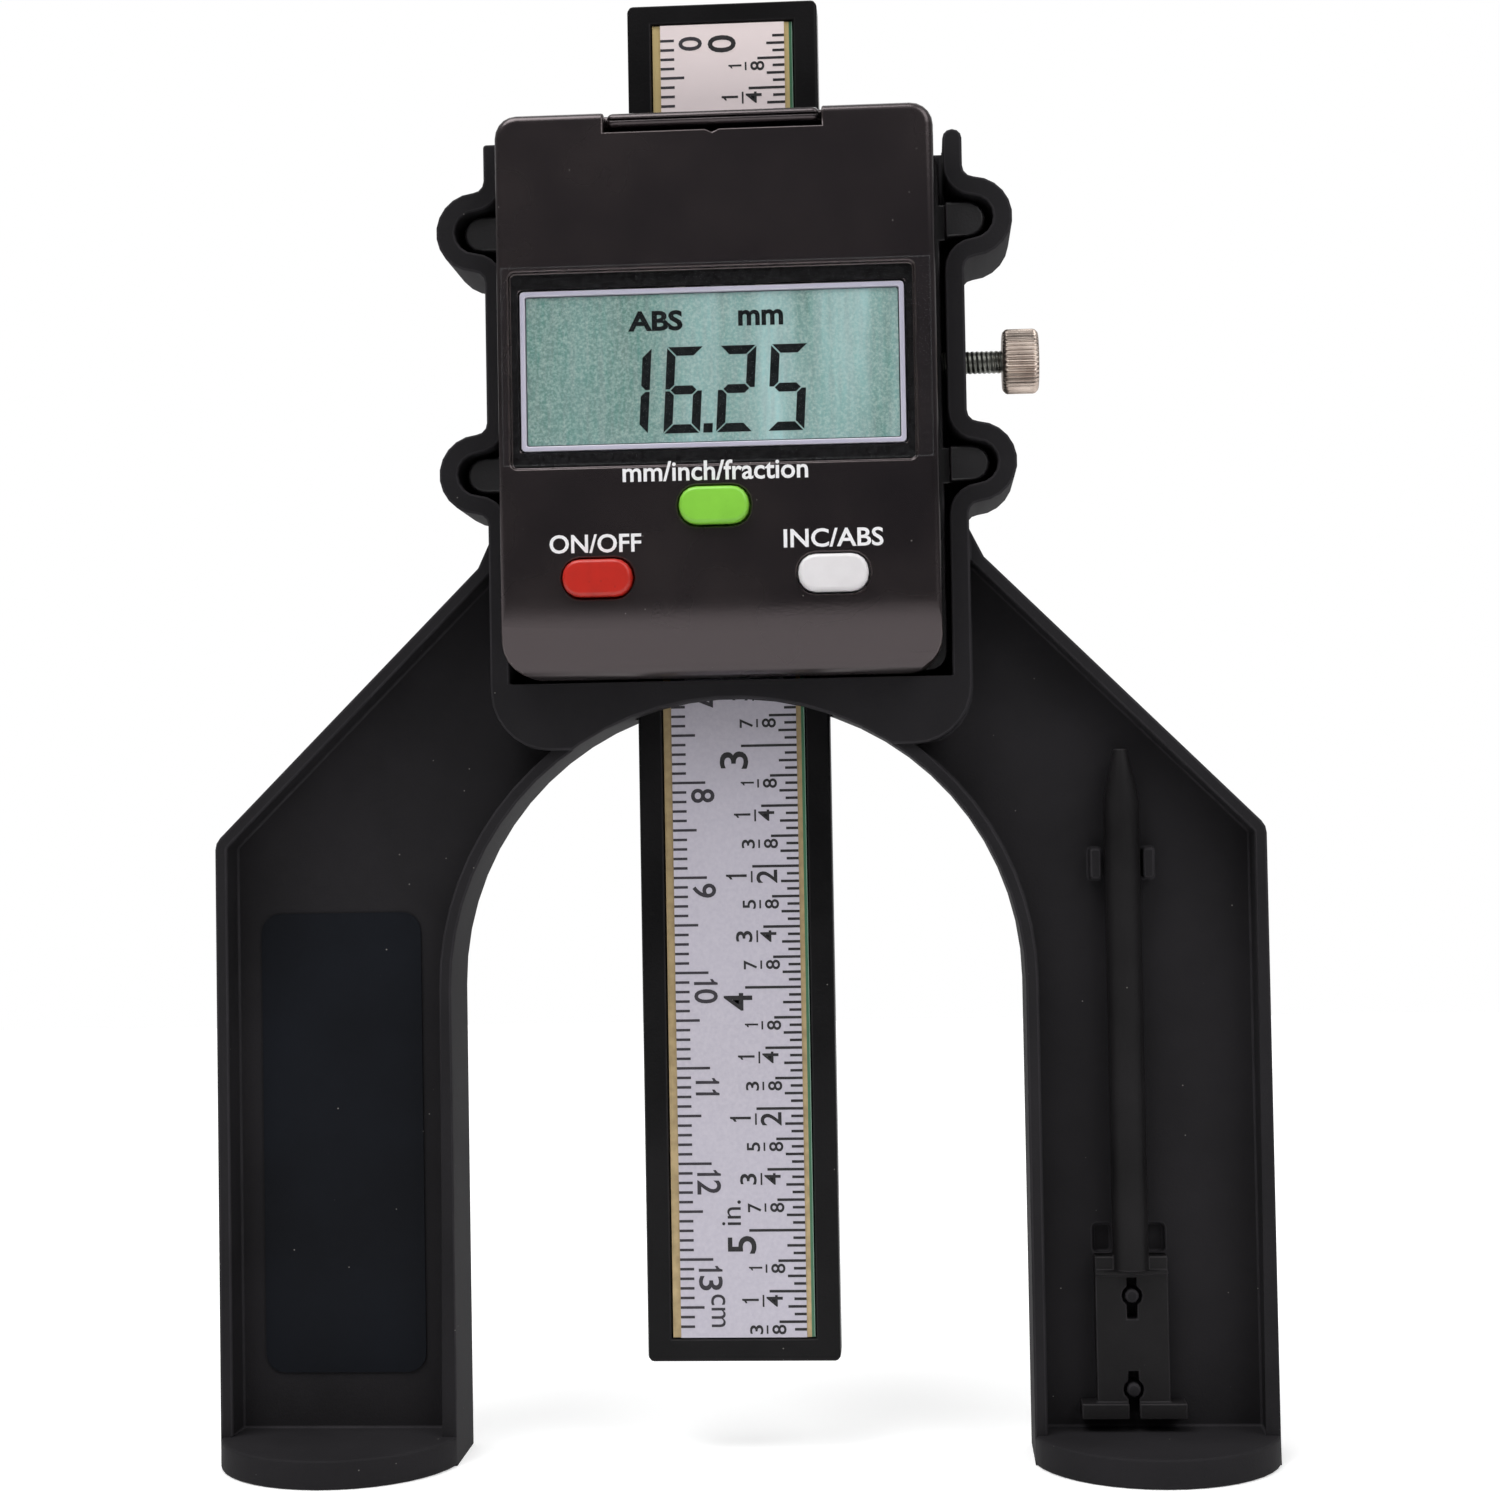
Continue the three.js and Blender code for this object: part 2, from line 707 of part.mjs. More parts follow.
// Rear housing, with the four lug pads that sit in the tower's loops
function rearHousing() {
  const channelHalf = beamHalf + beamPlay;
  const right = [
    ...arc(housingHalf - housingCorner, housingBottomZ + housingCorner, housingCorner, -Math.PI / 2, 0),
    point(housingHalf, housingTopZ - housingSlantHeight),
    point(housingHalf - housingSlantWidth, housingTopZ),
  ];
  const shell = prismY([...right, ...mirrored(right)], housingFront, housingBack);
  const pads = lugZs.map((z) => [
    point(housingHalf - housingWall, z - padRadius),
    ...arc(padX, z, padRadius, -Math.PI / 2, Math.PI / 2),
    point(housingHalf - housingWall, z + padRadius),
  ]).flatMap((outline) => [outline, mirrored(outline)]);
  const boardPocket = block(-boardWidth / 2 - seatGap, boardWidth / 2 + seatGap, housingFront - overrun,
    boardBack + glueGap, boardBottomZ - seatGap, boardTopZ + seatGap);
  const channel = block(-channelHalf, channelHalf, boardBack, beamBack + beamPlay,
    housingBottomZ - overrun, housingTopZ + overrun);
  const shoePocket = prismX(centredBox(beamMiddleY, lockZ, shoeDepth + 2 * lockPlay,
    shoeHeight + 2 * lockPlay, shoeCorner + lockPlay), beamHalf, shoePocketEnd);
  const shankHole = rodX(beamMiddleY, lockZ, lockShankRadius + seatGap, beamHalf, housingHalf + overrun);
  const insertHole = rodX(beamMiddleY, lockZ, insertRadius + insertPlay, insertEnd - insertLength - glueGap,
    housingHalf + overrun);
  const springZ = (housingBottomZ + housingTopZ) / 2;
  const springHalf = springLength / 2 + seatGap;
  const springSide = springDepth / 2 + seatGap;
  const springPocket = block(-springPocketEnd, -beamHalf, beamMiddleY - springSide, beamMiddleY + springSide,
    springZ - springHalf, springZ + springHalf);
  const hollowInner = springPocketEnd + housingWall;
  const hollowSpans = [
    [coverScrewZs[0] + screwHeadRadius + housingWall, lockZ - insertRadius - housingWall],
    [lockZ + insertRadius + housingWall, coverScrewZs[1] - screwHeadRadius - housingWall],
  ];
  const hollows = hollowSpans.flatMap(([z0, z1]) => [
    block(hollowInner, housingHalf - housingWall, housingFront - overrun, housingBack - housingWall, z0, z1),
    block(housingWall - housingHalf, -hollowInner, housingFront - overrun, housingBack - housingWall, z0, z1),
  ]);
  const lugHoles = lugs.map(({ x, z }) => (
    rodY(x, z, screwHole, headPocketFront - moduleScrewLength - seatGap, padBack + overrun)));
  const coverHoles = coverScrews.flatMap(({ x, z }) => [
    rodY(x, z, screwHole, housingFront - overrun, housingBack + overrun),
    rodY(x, z, screwHeadRadius + screwHeadPlay, coverScrewTop - screwHeadHeight - glueGap,
      housingBack + overrun),
  ]);
  const padStart = coverWidth / 2 + Math.abs(coverX) + seatGap;
  const besideCover = block(-padStart, padStart, padFront - overrun, housingFront, housingBottomZ,
    housingTopZ);
  const forward = pads.map((outline) => cut(prismY(outline, padFront, padBack, padEdge), besideCover));
  const padded = join(shell, ...forward);
  return piece('rear_housing', cut(padded, boardPocket, channel, shoePocket, shankHole, insertHole,
    springPocket, ...hollows, ...lugHoles, ...coverHoles), darkPlastic);
}

// Screen: clear film, silver frame, glass and the rubber strip that feeds it
function screenFilm() {
  const back = coverFront - glueGap;
  const outline = centredBox(coverX, screenZ + filmLift, coverWidth - coverEdge, filmHeight, filmCorner);
  return piece('screen_film', prismY(outline, back - filmThickness, back), clearFilm);
}

function screenFrame() {
  const holeOutline = centredBox(screenX, screenZ, screenWidth - 2 * screenFrameWidth,
    screenHeight - 2 * screenFrameWidth, screenCorner / 2);
  const hole = prismY(holeOutline, screenFront - overrun, coverInner + screenFrameDepth);
  const outer = prismY(centredBox(screenX, screenZ, screenWidth, screenHeight, screenCorner),
    screenFront, screenFront + screenFrameDepth);
  return piece('screen_frame', cut(outer, hole), silverFrame);
}

function screenGlass() {
  const trim = 2 * (screenFrameWidth + glassPlay);
  const outline = centredBox(screenX, screenZ, screenWidth - trim, screenHeight - trim, screenCorner / 2);
  return piece('screen_glass', prismY(outline, glassFront, glassBack), paleGlass);
}

function screenConnector() {
  const z0 = screenZ - screenHeight / 2 + connectorRise;
  return piece('screen_connector', block(coverX - connectorWidth / 2, coverX + connectorWidth / 2,
    glassBack + glueGap, boardFront - glueGap, z0, z0 + connectorThickness), greyRubber);
}

// Circuit board and its controller chip
function circuitBoard() {
  return piece('circuit_board', prismY(roundedBox(-boardWidth / 2, boardWidth / 2, boardBottomZ, boardTopZ,
    boardCorner), boardFront, boardBack), greenLaminate);
}

function controllerChip() {
  const back = boardFront - glueGap;
  const outline = centredBox(-chipOffset, chipZ, chipSide, chipSide, chipThickness / 4);
  return piece('controller_chip', prismY(outline, back - chipThickness, back), labelStock);
}

// Buttons: cap, flange and stem in one, over a switch with its plunger
function buttonShape() {
  const cap = prismY(centredBox(0, 0, buttonWidth, buttonHeight, buttonCorner), coverFront - buttonProud,
    flangeFront + buttonEdge, buttonEdge);
  const flange = prismY(centredBox(0, 0, buttonWidth + 2 * buttonFlange, buttonHeight + 2 * buttonFlange,
    buttonCorner + buttonFlange), flangeFront, flangeFront + buttonFlangeDepth);
  return join(cap, flange, rodY(0, 0, stemRadius, flangeFront, plungerFront - glueGap));
}

function switchShape() {
  return cut(
    prismY(centredBox(0, 0, switchSide, switchSide, switchWellPlay), switchFront, switchBack),
    rodY(0, 0, plungerRadius + switchWellPlay, switchFront - overrun, switchBack - switchWellFloor),
  );
}

function buttonPieces() {
  return buttonPlaces.flatMap(({ use, dx, z, finish }) => [
    piece(`button_${use}`, buttonShape(), finish, coverX + dx, 0, z),
    piece(`plunger_${use}`, rodY(0, 0, plungerRadius, plungerFront, plungerFront + plungerLength), labelStock,
      coverX + dx, 0, z),
    piece(`switch_${use}`, switchShape(), steel, coverX + dx, 0, z),
  ]);
}

// Battery drawer, coin cell and contacts
function batteryDrawer() {
  const floorFront = cellFront - glueGap - drawerFloor;
  const ring = prismY([
    ...arc(coverX, cellZ, ringOuter, -Math.PI, 0),
    point(coverX + ringOuter, lipBottomZ + drawerLipHeight / 2),
    point(coverX - ringOuter, lipBottomZ + drawerLipHeight / 2),
  ], floorFront, canBack - drawerBackInset);
  const cellHole = prismY(circle(coverX, cellZ, cellRadius + cellPlay), cellFront - glueGap, canBack);
  const floorHole = prismY(circle(coverX, cellZ, cellRadius - drawerLedge), floorFront - overrun, canBack);
  const lipHeight = drawerLipHeight - drawerLipGap;
  const lipZ = coverTopZ - lipHeight / 2;
  const lipFront = coverFront + drawerLipInset;
  const lip = prismY(centredBox(coverX, lipZ, drawerLipWidth, lipHeight, drawerLipCorner), lipFront,
    drawerLipBack, drawerLipEdge);
  const groove = block(coverX - drawerLipWidth, coverX + drawerLipWidth, lipFront - overrun,
    lipFront + lipGrooveDepth, lipZ - lipGrooveWidth / 2, lipZ + lipGrooveWidth / 2);
  const wingHalf = drawerLipWidth / 2 + drawerLipWing;
  const wings = block(coverX - wingHalf, coverX + wingHalf, coverInner + cellPlay, drawerLipBack,
    lipZ - lipHeight / 2 + cellPlay, coverTopZ - cellPlay);
  return piece('battery_drawer', cut(join(ring, wings, cut(lip, groove)), cellHole, floorHole), blackPlastic);
}

function coinCell() {
  const capBack = canBack + cellCapDepth;
  return piece('coin_cell', solid(spunY([
    point(0, cellFront),
    point(cellRadius - cellEdge, cellFront),
    point(cellRadius, cellFront + cellEdge),
    point(cellRadius, canBack),
    point(cellCapRadius, canBack),
    point(cellCapRadius - cellEdge, capBack),
    point(0, capBack),
  ])), steel, coverX, 0, cellZ);
}

function contactLeaf(name, tipFront, tipZ) {
  const back = boardFront - glueGap;
  const heights = [contactTip / 2, -contactTip / 2, -contactTip / 2 - contactRise,
    -contactTip / 2 - contactRise - contactFoot].map((dz) => tipZ + dz);
  const rear = [tipFront + contactThickness, tipFront + contactThickness, back, back];
  const backLine = heights.map((z, i) => point(rear[i], z));
  const frontLine = heights.map((z, i) => point(rear[i] - contactThickness, z)).reverse();
  return piece(name, prismX([...backLine, ...frontLine], -contactWidth / 2, contactWidth / 2), steel, coverX);
}

function cellContacts() {
  const annulusZ = cellZ - (cellRadius + cellCapRadius) / 2;
  return [
    contactLeaf('contact_negative', canBack + cellCapDepth + glueGap, cellZ),
    contactLeaf('contact_positive', canBack + glueGap, annulusZ),
  ];
}

// Beam with the strip that the board reads and the printed label on it
const recessBottomZ = beamBottomZ + recessBottomWall;
const recessTopZ = beamTopZ - recessTopWall;
const circuitBack = beamFront + recessDepth - glueGap;

function beamBody() {
  const bar = prismZ([
    point(-beamHalf + beamEdge, beamFront),
    point(beamHalf - beamEdge, beamFront),
    point(beamHalf, beamFront + beamEdge),
    point(beamHalf, beamBack - beamEdge),
    point(beamHalf - beamEdge, beamBack),
    point(beamEdge - beamHalf, beamBack),
    point(-beamHalf, beamBack - beamEdge),
    point(-beamHalf, beamFront + beamEdge),
  ], beamBottomZ, beamTopZ);
  const outline = roundedBox(-beamHalf, beamHalf, beamBottomZ, beamTopZ, beamCorner);
  const recess = block(-recessWidth / 2, recessWidth / 2, beamFront - overrun, beamFront + recessDepth,
    recessBottomZ, recessTopZ);
  const rounded = bar.intersect(prismY(outline, beamFront - overrun, beamBack + overrun));
  return piece('beam', cut(rounded, recess), beamPlastic);
}

function scaleCircuit() {
  const half = recessWidth / 2 - circuitPlay;
  return piece('scale_circuit', block(-half, half, circuitBack - circuitThickness, circuitBack,
    recessBottomZ + circuitPlay, recessTopZ - circuitPlay), greenLaminate);
}

function scaleLabel() {
  const back = circuitBack - circuitThickness - glueGap;
  return piece('scale_label', block(-scaleLabelWidth / 2, scaleLabelWidth / 2, back - scaleLabelThickness,
    back, recessBottomZ + circuitPlay, recessTopZ - circuitPlay), silverPaper);
}

function beamSpring() {
  const radius = (springLength * springLength / 4 + springBow * springBow) / (2 * springBow);
  const turn = Math.asin(springLength / 2 / radius);
  const x = -beamHalf - springGap - radius;
  const z = (housingBottomZ + housingTopZ) / 2;
  const outline = [...arc(x, z, radius, -turn, turn), ...arc(x, z, radius - springThickness, turn, -turn)];
  const shape = prismY(outline, beamMiddleY - springDepth / 2, beamMiddleY + springDepth / 2);
  return piece('beam_spring', shape, steel);
}

// Lock: a screw with a knurled head pushes a brass shoe onto the beam's edge
function lockShoe() {
  return piece('lock_shoe', prismX(centredBox(beamMiddleY, lockZ, shoeDepth, shoeHeight, shoeCorner),
    shoeStart, shoeStart + shoeLength), brass);
}

function lockInsert() {
  const bore = rodX(beamMiddleY, lockZ, lockShankRadius + lockPlay, insertEnd - insertLength - overrun,
    insertEnd + overrun);
  return piece('lock_insert', cut(rodX(beamMiddleY, lockZ, insertRadius, insertEnd - insertLength, insertEnd),
    bore), brass);
}

function lockShank() {
  const end = headEnd - lockHeadSkin - glueGap;
  const turns = Math.floor((lockHeadStart - shankStart) / lockPitch);
  const threads = Array.from({ length: turns }, (_, i) => [
    point(lockShankRadius, shankStart + i * lockPitch + lockPitch / 4),
    point(lockShankRadius - lockThreadDepth, shankStart + i * lockPitch + lockPitch * 3 / 4),
  ]).flat();
  const profile = [
    point(0, shankStart),
    point(lockShankRadius - lockThreadDepth, shankStart),
    ...threads,
    point(lockShankRadius - lockThreadDepth, end),
    point(0, end),
  ];
  return piece('lock_screw_shank', solid(spunY(profile).rotateZ(-Math.PI / 2)), darkSteel,
    0, beamMiddleY, lockZ);
}

function lockHead() {
  const outline = Array.from({ length: 2 * lockHeadTeeth }, (_, i) => {
    const radius = lockHeadRadius - (i % 2) * lockToothDepth;
    const angle = i * Math.PI / lockHeadTeeth;
    return point(radius * Math.cos(angle), radius * Math.sin(angle));
  });
  const bore = rodX(0, 0, lockShankRadius + lockPlay, lockHeadStart - overrun, headEnd - lockHeadSkin);
  return piece('lock_screw_head', cut(prismX(outline, lockHeadStart, headEnd, lockHeadEdge), bore), nickel,
    0, beamMiddleY, lockZ);
}

// Screws: cross-slotted, with the top of the head at the origin and the shank towards the front
function screwShape(length) {
  const underHead = -screwHeadHeight;
  const tip = underHead - length;
  const slotHalf = screwSlot / 2;
  const reach = screwHeadRadius - screwSlot;
  return cut(
    solid(spunY([
      point(0, tip),
      point(screwRadius, tip + screwTip),
      point(screwRadius, underHead),
      point(screwHeadRadius, underHead),
      point(screwHeadRadius, -screwHeadEdge),
      point(screwHeadRadius - screwHeadEdge, 0),
      point(0, 0),
    ])),
    block(-reach, reach, -screwSlotDepth, overrun, -slotHalf, slotHalf),
    block(-slotHalf, slotHalf, -screwSlotDepth, overrun, -reach, reach),
  );
}

function screws() {
  return [
    ...lugs.map(({ x, z }, i) => (
      piece(`module_screw_${i + 1}`, screwShape(moduleScrewLength), steel, x, legDepth - screwSink, z))),
    ...coverScrews.map(({ x, z }, i) => (
      piece(`cover_screw_${i + 1}`, screwShape(coverScrewLength), steel, x, coverScrewTop, z))),
  ];
}

// Magnets under the feet and the blank label in the left tray
function footMagnets() {
  return magnets.map((x, i) => (
    piece(`foot_magnet_${i + 1}`, rodZ(0, 0, magnetRadius, magnetSink, magnetSink + magnetThickness), steel,
      x)));
}

function legLabel() {
  const back = trayDepth - glueGap;
  const outline = roundedBox(-legX - legLabelWidth / 2, -legX + legLabelWidth / 2, legLabelBottomZ,
    legLabelBottomZ + legLabelHeight, legLabelCorner);
  return piece('leg_label', prismY(outline, back - legLabelThickness, back), labelStock);
}

// Probe: a pointed pin moulded on a bracket, stored on two pegs in the right tray
function keyhole(pegZ, slotZ0, slotZ1) {
  return join(
    rodY(probeX, pegZ, slotEyeRadius, 0, probeBack + overrun),
    block(probeX - slotWidth / 2, probeX + slotWidth / 2, 0, probeBack + overrun, slotZ0, slotZ1),
  );
}

function depthProbe() {
  const plateFront = probeBack - bracketDepth;
  const pin = solid(spunY([
    point(0, bracketTopZ - bracketRidgeDrop),
    point(probeRadius, bracketTopZ - bracketRidgeDrop),
    point(probeRadius, probeTipZ - probeConeHeight),
    point(probeTipRadius, probeTipZ),
    point(0, probeTipZ),
  ]).rotateX(Math.PI / 2).translate(probeX, probeBack - probeRadius, 0));
  const [left, right] = sides.map((side) => probeX + side * bracketWidth / 2);
  const plate = block(left, right, plateFront, probeBack, bracketBottomZ, bracketTopZ);
  const foot = block(probeX - bracketFootWidth / 2, probeX + bracketFootWidth / 2,
    probeBack - bracketFootDepth, probeBack, bracketBottomZ, bracketBottomZ + bracketFootHeight);
  const ridgeZ = bracketTopZ - bracketRidgeDrop;
  const ridge = block(left, right, plateFront - bracketRidge, probeBack, ridgeZ - bracketRidgeHeight,
    ridgeZ);
  return piece('depth_probe', cut(
    join(plate, foot, ridge, pin),
    keyhole(upperPegZ, upperPegZ - slotReach, upperPegZ + slotReach - slotWidth / 2),
    keyhole(lowerPegZ, bracketBottomZ - overrun, lowerPegZ + slotReach - slotWidth / 2),
  ), blackPlastic);
}

const gauge = new THREE.Group();
gauge.add(
  bridgeBase(),
  frontCover(),
  rearHousing(),
  screenFilm(),
  screenFrame(),
  screenGlass(),
  screenConnector(),
  circuitBoard(),
  controllerChip(),
  ...buttonPieces(),
  batteryDrawer(),
  coinCell(),
  ...cellContacts(),
  beamBody(),
  scaleCircuit(),
  scaleLabel(),
  beamSpring(),
  lockShoe(),
  lockInsert(),
  lockShank(),
  lockHead(),
  ...screws(),
  ...footMagnets(),
  legLabel(),
  depthProbe(),
);

export default gauge;
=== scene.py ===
import json
import math

import bmesh
import bpy
import numpy as np
from mathutils import Matrix, Vector
from mathutils.bvhtree import BVHTree
from mathutils.kdtree import KDTree


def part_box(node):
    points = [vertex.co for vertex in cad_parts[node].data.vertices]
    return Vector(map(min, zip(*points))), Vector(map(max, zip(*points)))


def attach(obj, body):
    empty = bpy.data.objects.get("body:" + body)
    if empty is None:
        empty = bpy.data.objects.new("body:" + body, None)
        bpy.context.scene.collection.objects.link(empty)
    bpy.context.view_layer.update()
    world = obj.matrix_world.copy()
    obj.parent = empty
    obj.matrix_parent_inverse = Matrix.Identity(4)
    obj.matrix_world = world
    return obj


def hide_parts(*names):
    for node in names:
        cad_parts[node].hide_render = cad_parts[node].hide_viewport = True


# Digital depth gauge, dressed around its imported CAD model.
# Blender works in metres, and the sizes below are millimetres times mm.
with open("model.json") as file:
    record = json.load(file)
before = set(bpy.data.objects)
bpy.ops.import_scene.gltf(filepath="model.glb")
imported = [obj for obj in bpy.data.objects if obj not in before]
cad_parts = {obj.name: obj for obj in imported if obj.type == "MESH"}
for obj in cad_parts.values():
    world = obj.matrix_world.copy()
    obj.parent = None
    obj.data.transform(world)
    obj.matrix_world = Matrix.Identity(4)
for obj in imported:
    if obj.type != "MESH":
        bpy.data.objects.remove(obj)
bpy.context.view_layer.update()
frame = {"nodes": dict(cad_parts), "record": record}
mm = 0.001
nodes = frame["nodes"]
record = frame["record"]
body_of = {name: body for body, names in record["behaviour"]["bodies"].items() for name in names}

# Camera: it stands about 265 mm in front of the gauge and 19 mm to the right, a little below mid height.
# It looks back to the middle and slightly up, and the picture is square.
eye = Vector((18.93, -264.56, 66.02)) * mm
yaw, pitch, roll = -0.06448, 0.03035, -0.01728
ahead = Vector((math.sin(yaw) * math.cos(pitch), math.cos(yaw) * math.cos(pitch), math.sin(pitch)))
level = Vector((math.cos(yaw), -math.sin(yaw), 0))
upright = level.cross(ahead)
side = math.cos(roll) * level + math.sin(roll) * upright
top = math.cos(roll) * upright - math.sin(roll) * level
camera_data = bpy.data.cameras.new("camera")
camera_data.lens = 61.024
camera_data.sensor_width = 36
camera_data.clip_start = 10 * mm
camera = bpy.data.objects.new("camera", camera_data)
camera.matrix_world = Matrix.Translation(eye) @ Matrix((side, top, -ahead)).transposed().to_4x4()
bpy.context.scene.collection.objects.link(camera)
bpy.context.scene.camera = camera

# Bridge base: one black ABS moulding with two tray legs, the arch, the tower and the foot plates.
# The mould leaves a fine matt grain, and every rib and rim has a soft edge a quarter millimetre wide.
# The tower holds the module by four screws from behind.
base_edge = 0.25 * mm
sharp_turn = math.radians(50)
flat_turn = math.radians(0.5)
weld_gap = 0.001 * mm
drift_share = 0.6
turned_over = -0.1
fold_area = 0.005 * mm * mm
side_end_share = 0.001
dust_grey = "#a8a4a0"
cloud_size = 14 * mm
wear_size = 4 * mm
dust_pitch = 2.5 * mm


def linear(code):
    """The linear light of an sRGB code such as #1b1a1c: each byte through the inverse sRGB curve."""
    shares = np.array([int(code[i:i + 2], 16) for i in (1, 3, 5)]) / 255
    light = np.where(shares <= 0.04045, shares / 12.92, ((shares + 0.055) / 1.055) ** 2.4)
    return (*light.tolist(), 1.0)


def node(tree, kind, inputs=None, take=None, **settings):
    """Add a shader node with its settings; an input is a value or the output that feeds it.

    It returns the output named by take, or else the first live output."""
    made = tree.nodes.new("ShaderNode" + kind)
    for name, value in settings.items():
        setattr(made, name, value)
    for name, value in (inputs or {}).items():
        live = [socket for socket in made.inputs if socket.enabled]
        socket = live[name] if isinstance(name, int) else next(s for s in live if s.name == name)
        if isinstance(value, bpy.types.NodeSocket):
            tree.links.new(value, socket)
        else:
            socket.default_value = value
    outputs = [socket for socket in made.outputs if socket.enabled and take in (None, socket.name)]
    return outputs[0] if outputs else None


def new_finish(name):
    """An empty node material, and the Object coordinates that its patterns lie on."""
    finish = bpy.data.materials.new(name)
    finish.use_nodes = True
    finish.node_tree.nodes.clear()
    return finish, finish.node_tree, node(finish.node_tree, "TexCoord", take="Object")


def moulded(name, colour, rubbed, roughness, grain=0.3 * mm, relief=0.02 * mm, dust=0.5, shine=0.5,
             tint="#ffffff"):
    """Moulded plastic: grain is a noise bump, flow clouds vary colour and gloss, edges are rubbed paler.

    Dust is the few cell centres of a Voronoi pattern that lie in the surface."""
    finish, tree, place = new_finish(name)
    flow = node(tree, "TexNoise", {"Vector": place, "Scale": 1 / cloud_size, "Detail": 3.0})
    flow = node(tree, "MapRange", {"Value": flow, "From Min": 0.2, "From Max": 0.8},
                interpolation_type="SMOOTHSTEP")
    cloud = node(tree, "Math", {0: flow, 1: 0.3}, operation="MULTIPLY")
    body = node(tree, "Mix", {"Factor": cloud, "A": linear(colour), "B": linear(rubbed)}, data_type="RGBA")
    edge = node(tree, "Attribute", attribute_name="edge", take="Fac")
    patchy = node(tree, "TexNoise", {"Vector": place, "Scale": 1 / wear_size, "Detail": 4.0})
    worn = node(tree, "Math", {0: edge, 1: patchy}, operation="MULTIPLY")
    body = node(tree, "Mix", {"Factor": worn, "A": body, "B": linear(rubbed)}, data_type="RGBA")
    speck = node(tree, "TexVoronoi", {"Vector": place, "Scale": 1 / dust_pitch}, take="Distance")
    speck = node(tree, "MapRange", {"Value": speck, "From Min": 0.035, "From Max": 0.015, "To Max": dust})
    body = node(tree, "Mix", {"Factor": speck, "A": body, "B": linear(dust_grey)}, data_type="RGBA")
    fine = node(tree, "TexNoise", {"Vector": place, "Scale": 1 / grain, "Detail": 2.0, "Roughness": 0.6})
    bump = node(tree, "Bump", {"Height": fine, "Distance": relief, "Strength": 1.0})
    gloss = node(tree, "MapRange", {"Value": flow, "To Min": roughness - 0.04, "To Max": roughness + 0.05})
    shader = node(tree, "BsdfPrincipled", {
        "Base Color": body, "Roughness": gloss, "Normal": bump, "IOR": 1.53, "Specular IOR Level": shine,
        "Specular Tint": linear(tint)})
    node(tree, "OutputMaterial", {"Surface": shader})
    return finish


def place_piece(piece, finish, body):
    """Link the piece, give it its finish and tie it to its body."""
    piece.data.materials.clear()
    piece.data.materials.append(finish)
    bpy.context.scene.collection.objects.link(piece)
    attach(piece, body)


def crossing_spots(shape):
    """Where faces cross themselves: their triangles outgrow them, and two of their sides intersect."""
    covered = {}
    for loops in shape.calc_loop_triangles():
        first, second, third = (loop.vert.co for loop in loops)
        area = (second - first).cross(third - first).length / 2
        covered[loops[0].face] = covered.get(loops[0].face, 0) + area
    spots = []
    for face, area in covered.items():
        if area - face.calc_area() < fold_area:
            continue
        corners = np.array([loop.vert.co for loop in face.loops])
        steps = np.roll(corners, -1, axis=0) - corners
        u, v = [axis for axis in range(3) if axis != np.argmax(np.abs(face.normal))]
        gap = corners[None] - corners[:, None]
        with np.errstate(divide="ignore", invalid="ignore"):
            lean = steps[:, None, u] * steps[None, :, v] - steps[:, None, v] * steps[None, :, u]
            share = (gap[..., u] * steps[None, :, v] - gap[..., v] * steps[None, :, u]) / lean
            other = (gap[..., u] * steps[:, None, v] - gap[..., v] * steps[:, None, u]) / lean
            inside = np.minimum(np.minimum(share, other), 1 - np.maximum(share, other)) > side_end_share
        spots += [Vector(corners[line] + share[line, rival] * steps[line])
                  for line, rival in zip(*np.nonzero(inside)) if line < rival]
    return spots


def rounded_edges(shape, edge):
    """Round the sharp edges in two steps, and mark them for wear.

    Where a corner is too narrow for the round, its points drift off the first surface, or its faces
    turn over or cross themselves.
    The edges that meet at such a corner stay sharp, and the rest are rounded again."""
    surface = BVHTree.FromBMesh(shape)
    shape.verts.index_update()
    sharp = {line.index for line in shape.edges
             if len(line.link_faces) == 2 and line.calc_face_angle() > sharp_turn}
    shape.edges.ensure_lookup_table()
    shape.verts.ensure_lookup_table()
    while True:
        trial = shape.copy()
        trial.edges.ensure_lookup_table()
        layer = trial.faces.layers.float.new("edge")
        made = bmesh.ops.bevel(trial, geom=[trial.edges[index] for index in sorted(sharp)], offset=edge,
                               segments=2, profile=0.5, affect="EDGES", clamp_overlap=False)
        spoiled = [corner.co for corner in made["verts"]
                   if surface.find_nearest(corner.co)[3] > drift_share * edge]
        trial.normal_update()
        for face in made["faces"]:
            middle = face.calc_center_median()
            if face.normal.dot(surface.find_nearest(middle)[1]) < turned_over:
                spoiled.append(middle)
        spoiled += crossing_spots(trial)
        if not (spoiled and sharp):
            break
        trial.free()
        ends = sorted({corner.index for index in sharp for corner in shape.edges[index].verts})
        corners = KDTree(len(ends))
        for index in ends:
            corners.insert(shape.verts[index].co, index)
        corners.balance()
        for spot in spoiled:
            narrow = shape.verts[corners.find(spot)[1]]
            sharp -= {line.index for line in narrow.link_edges}
    for face in made["faces"]:
        face[layer] = 1.0
    return trial


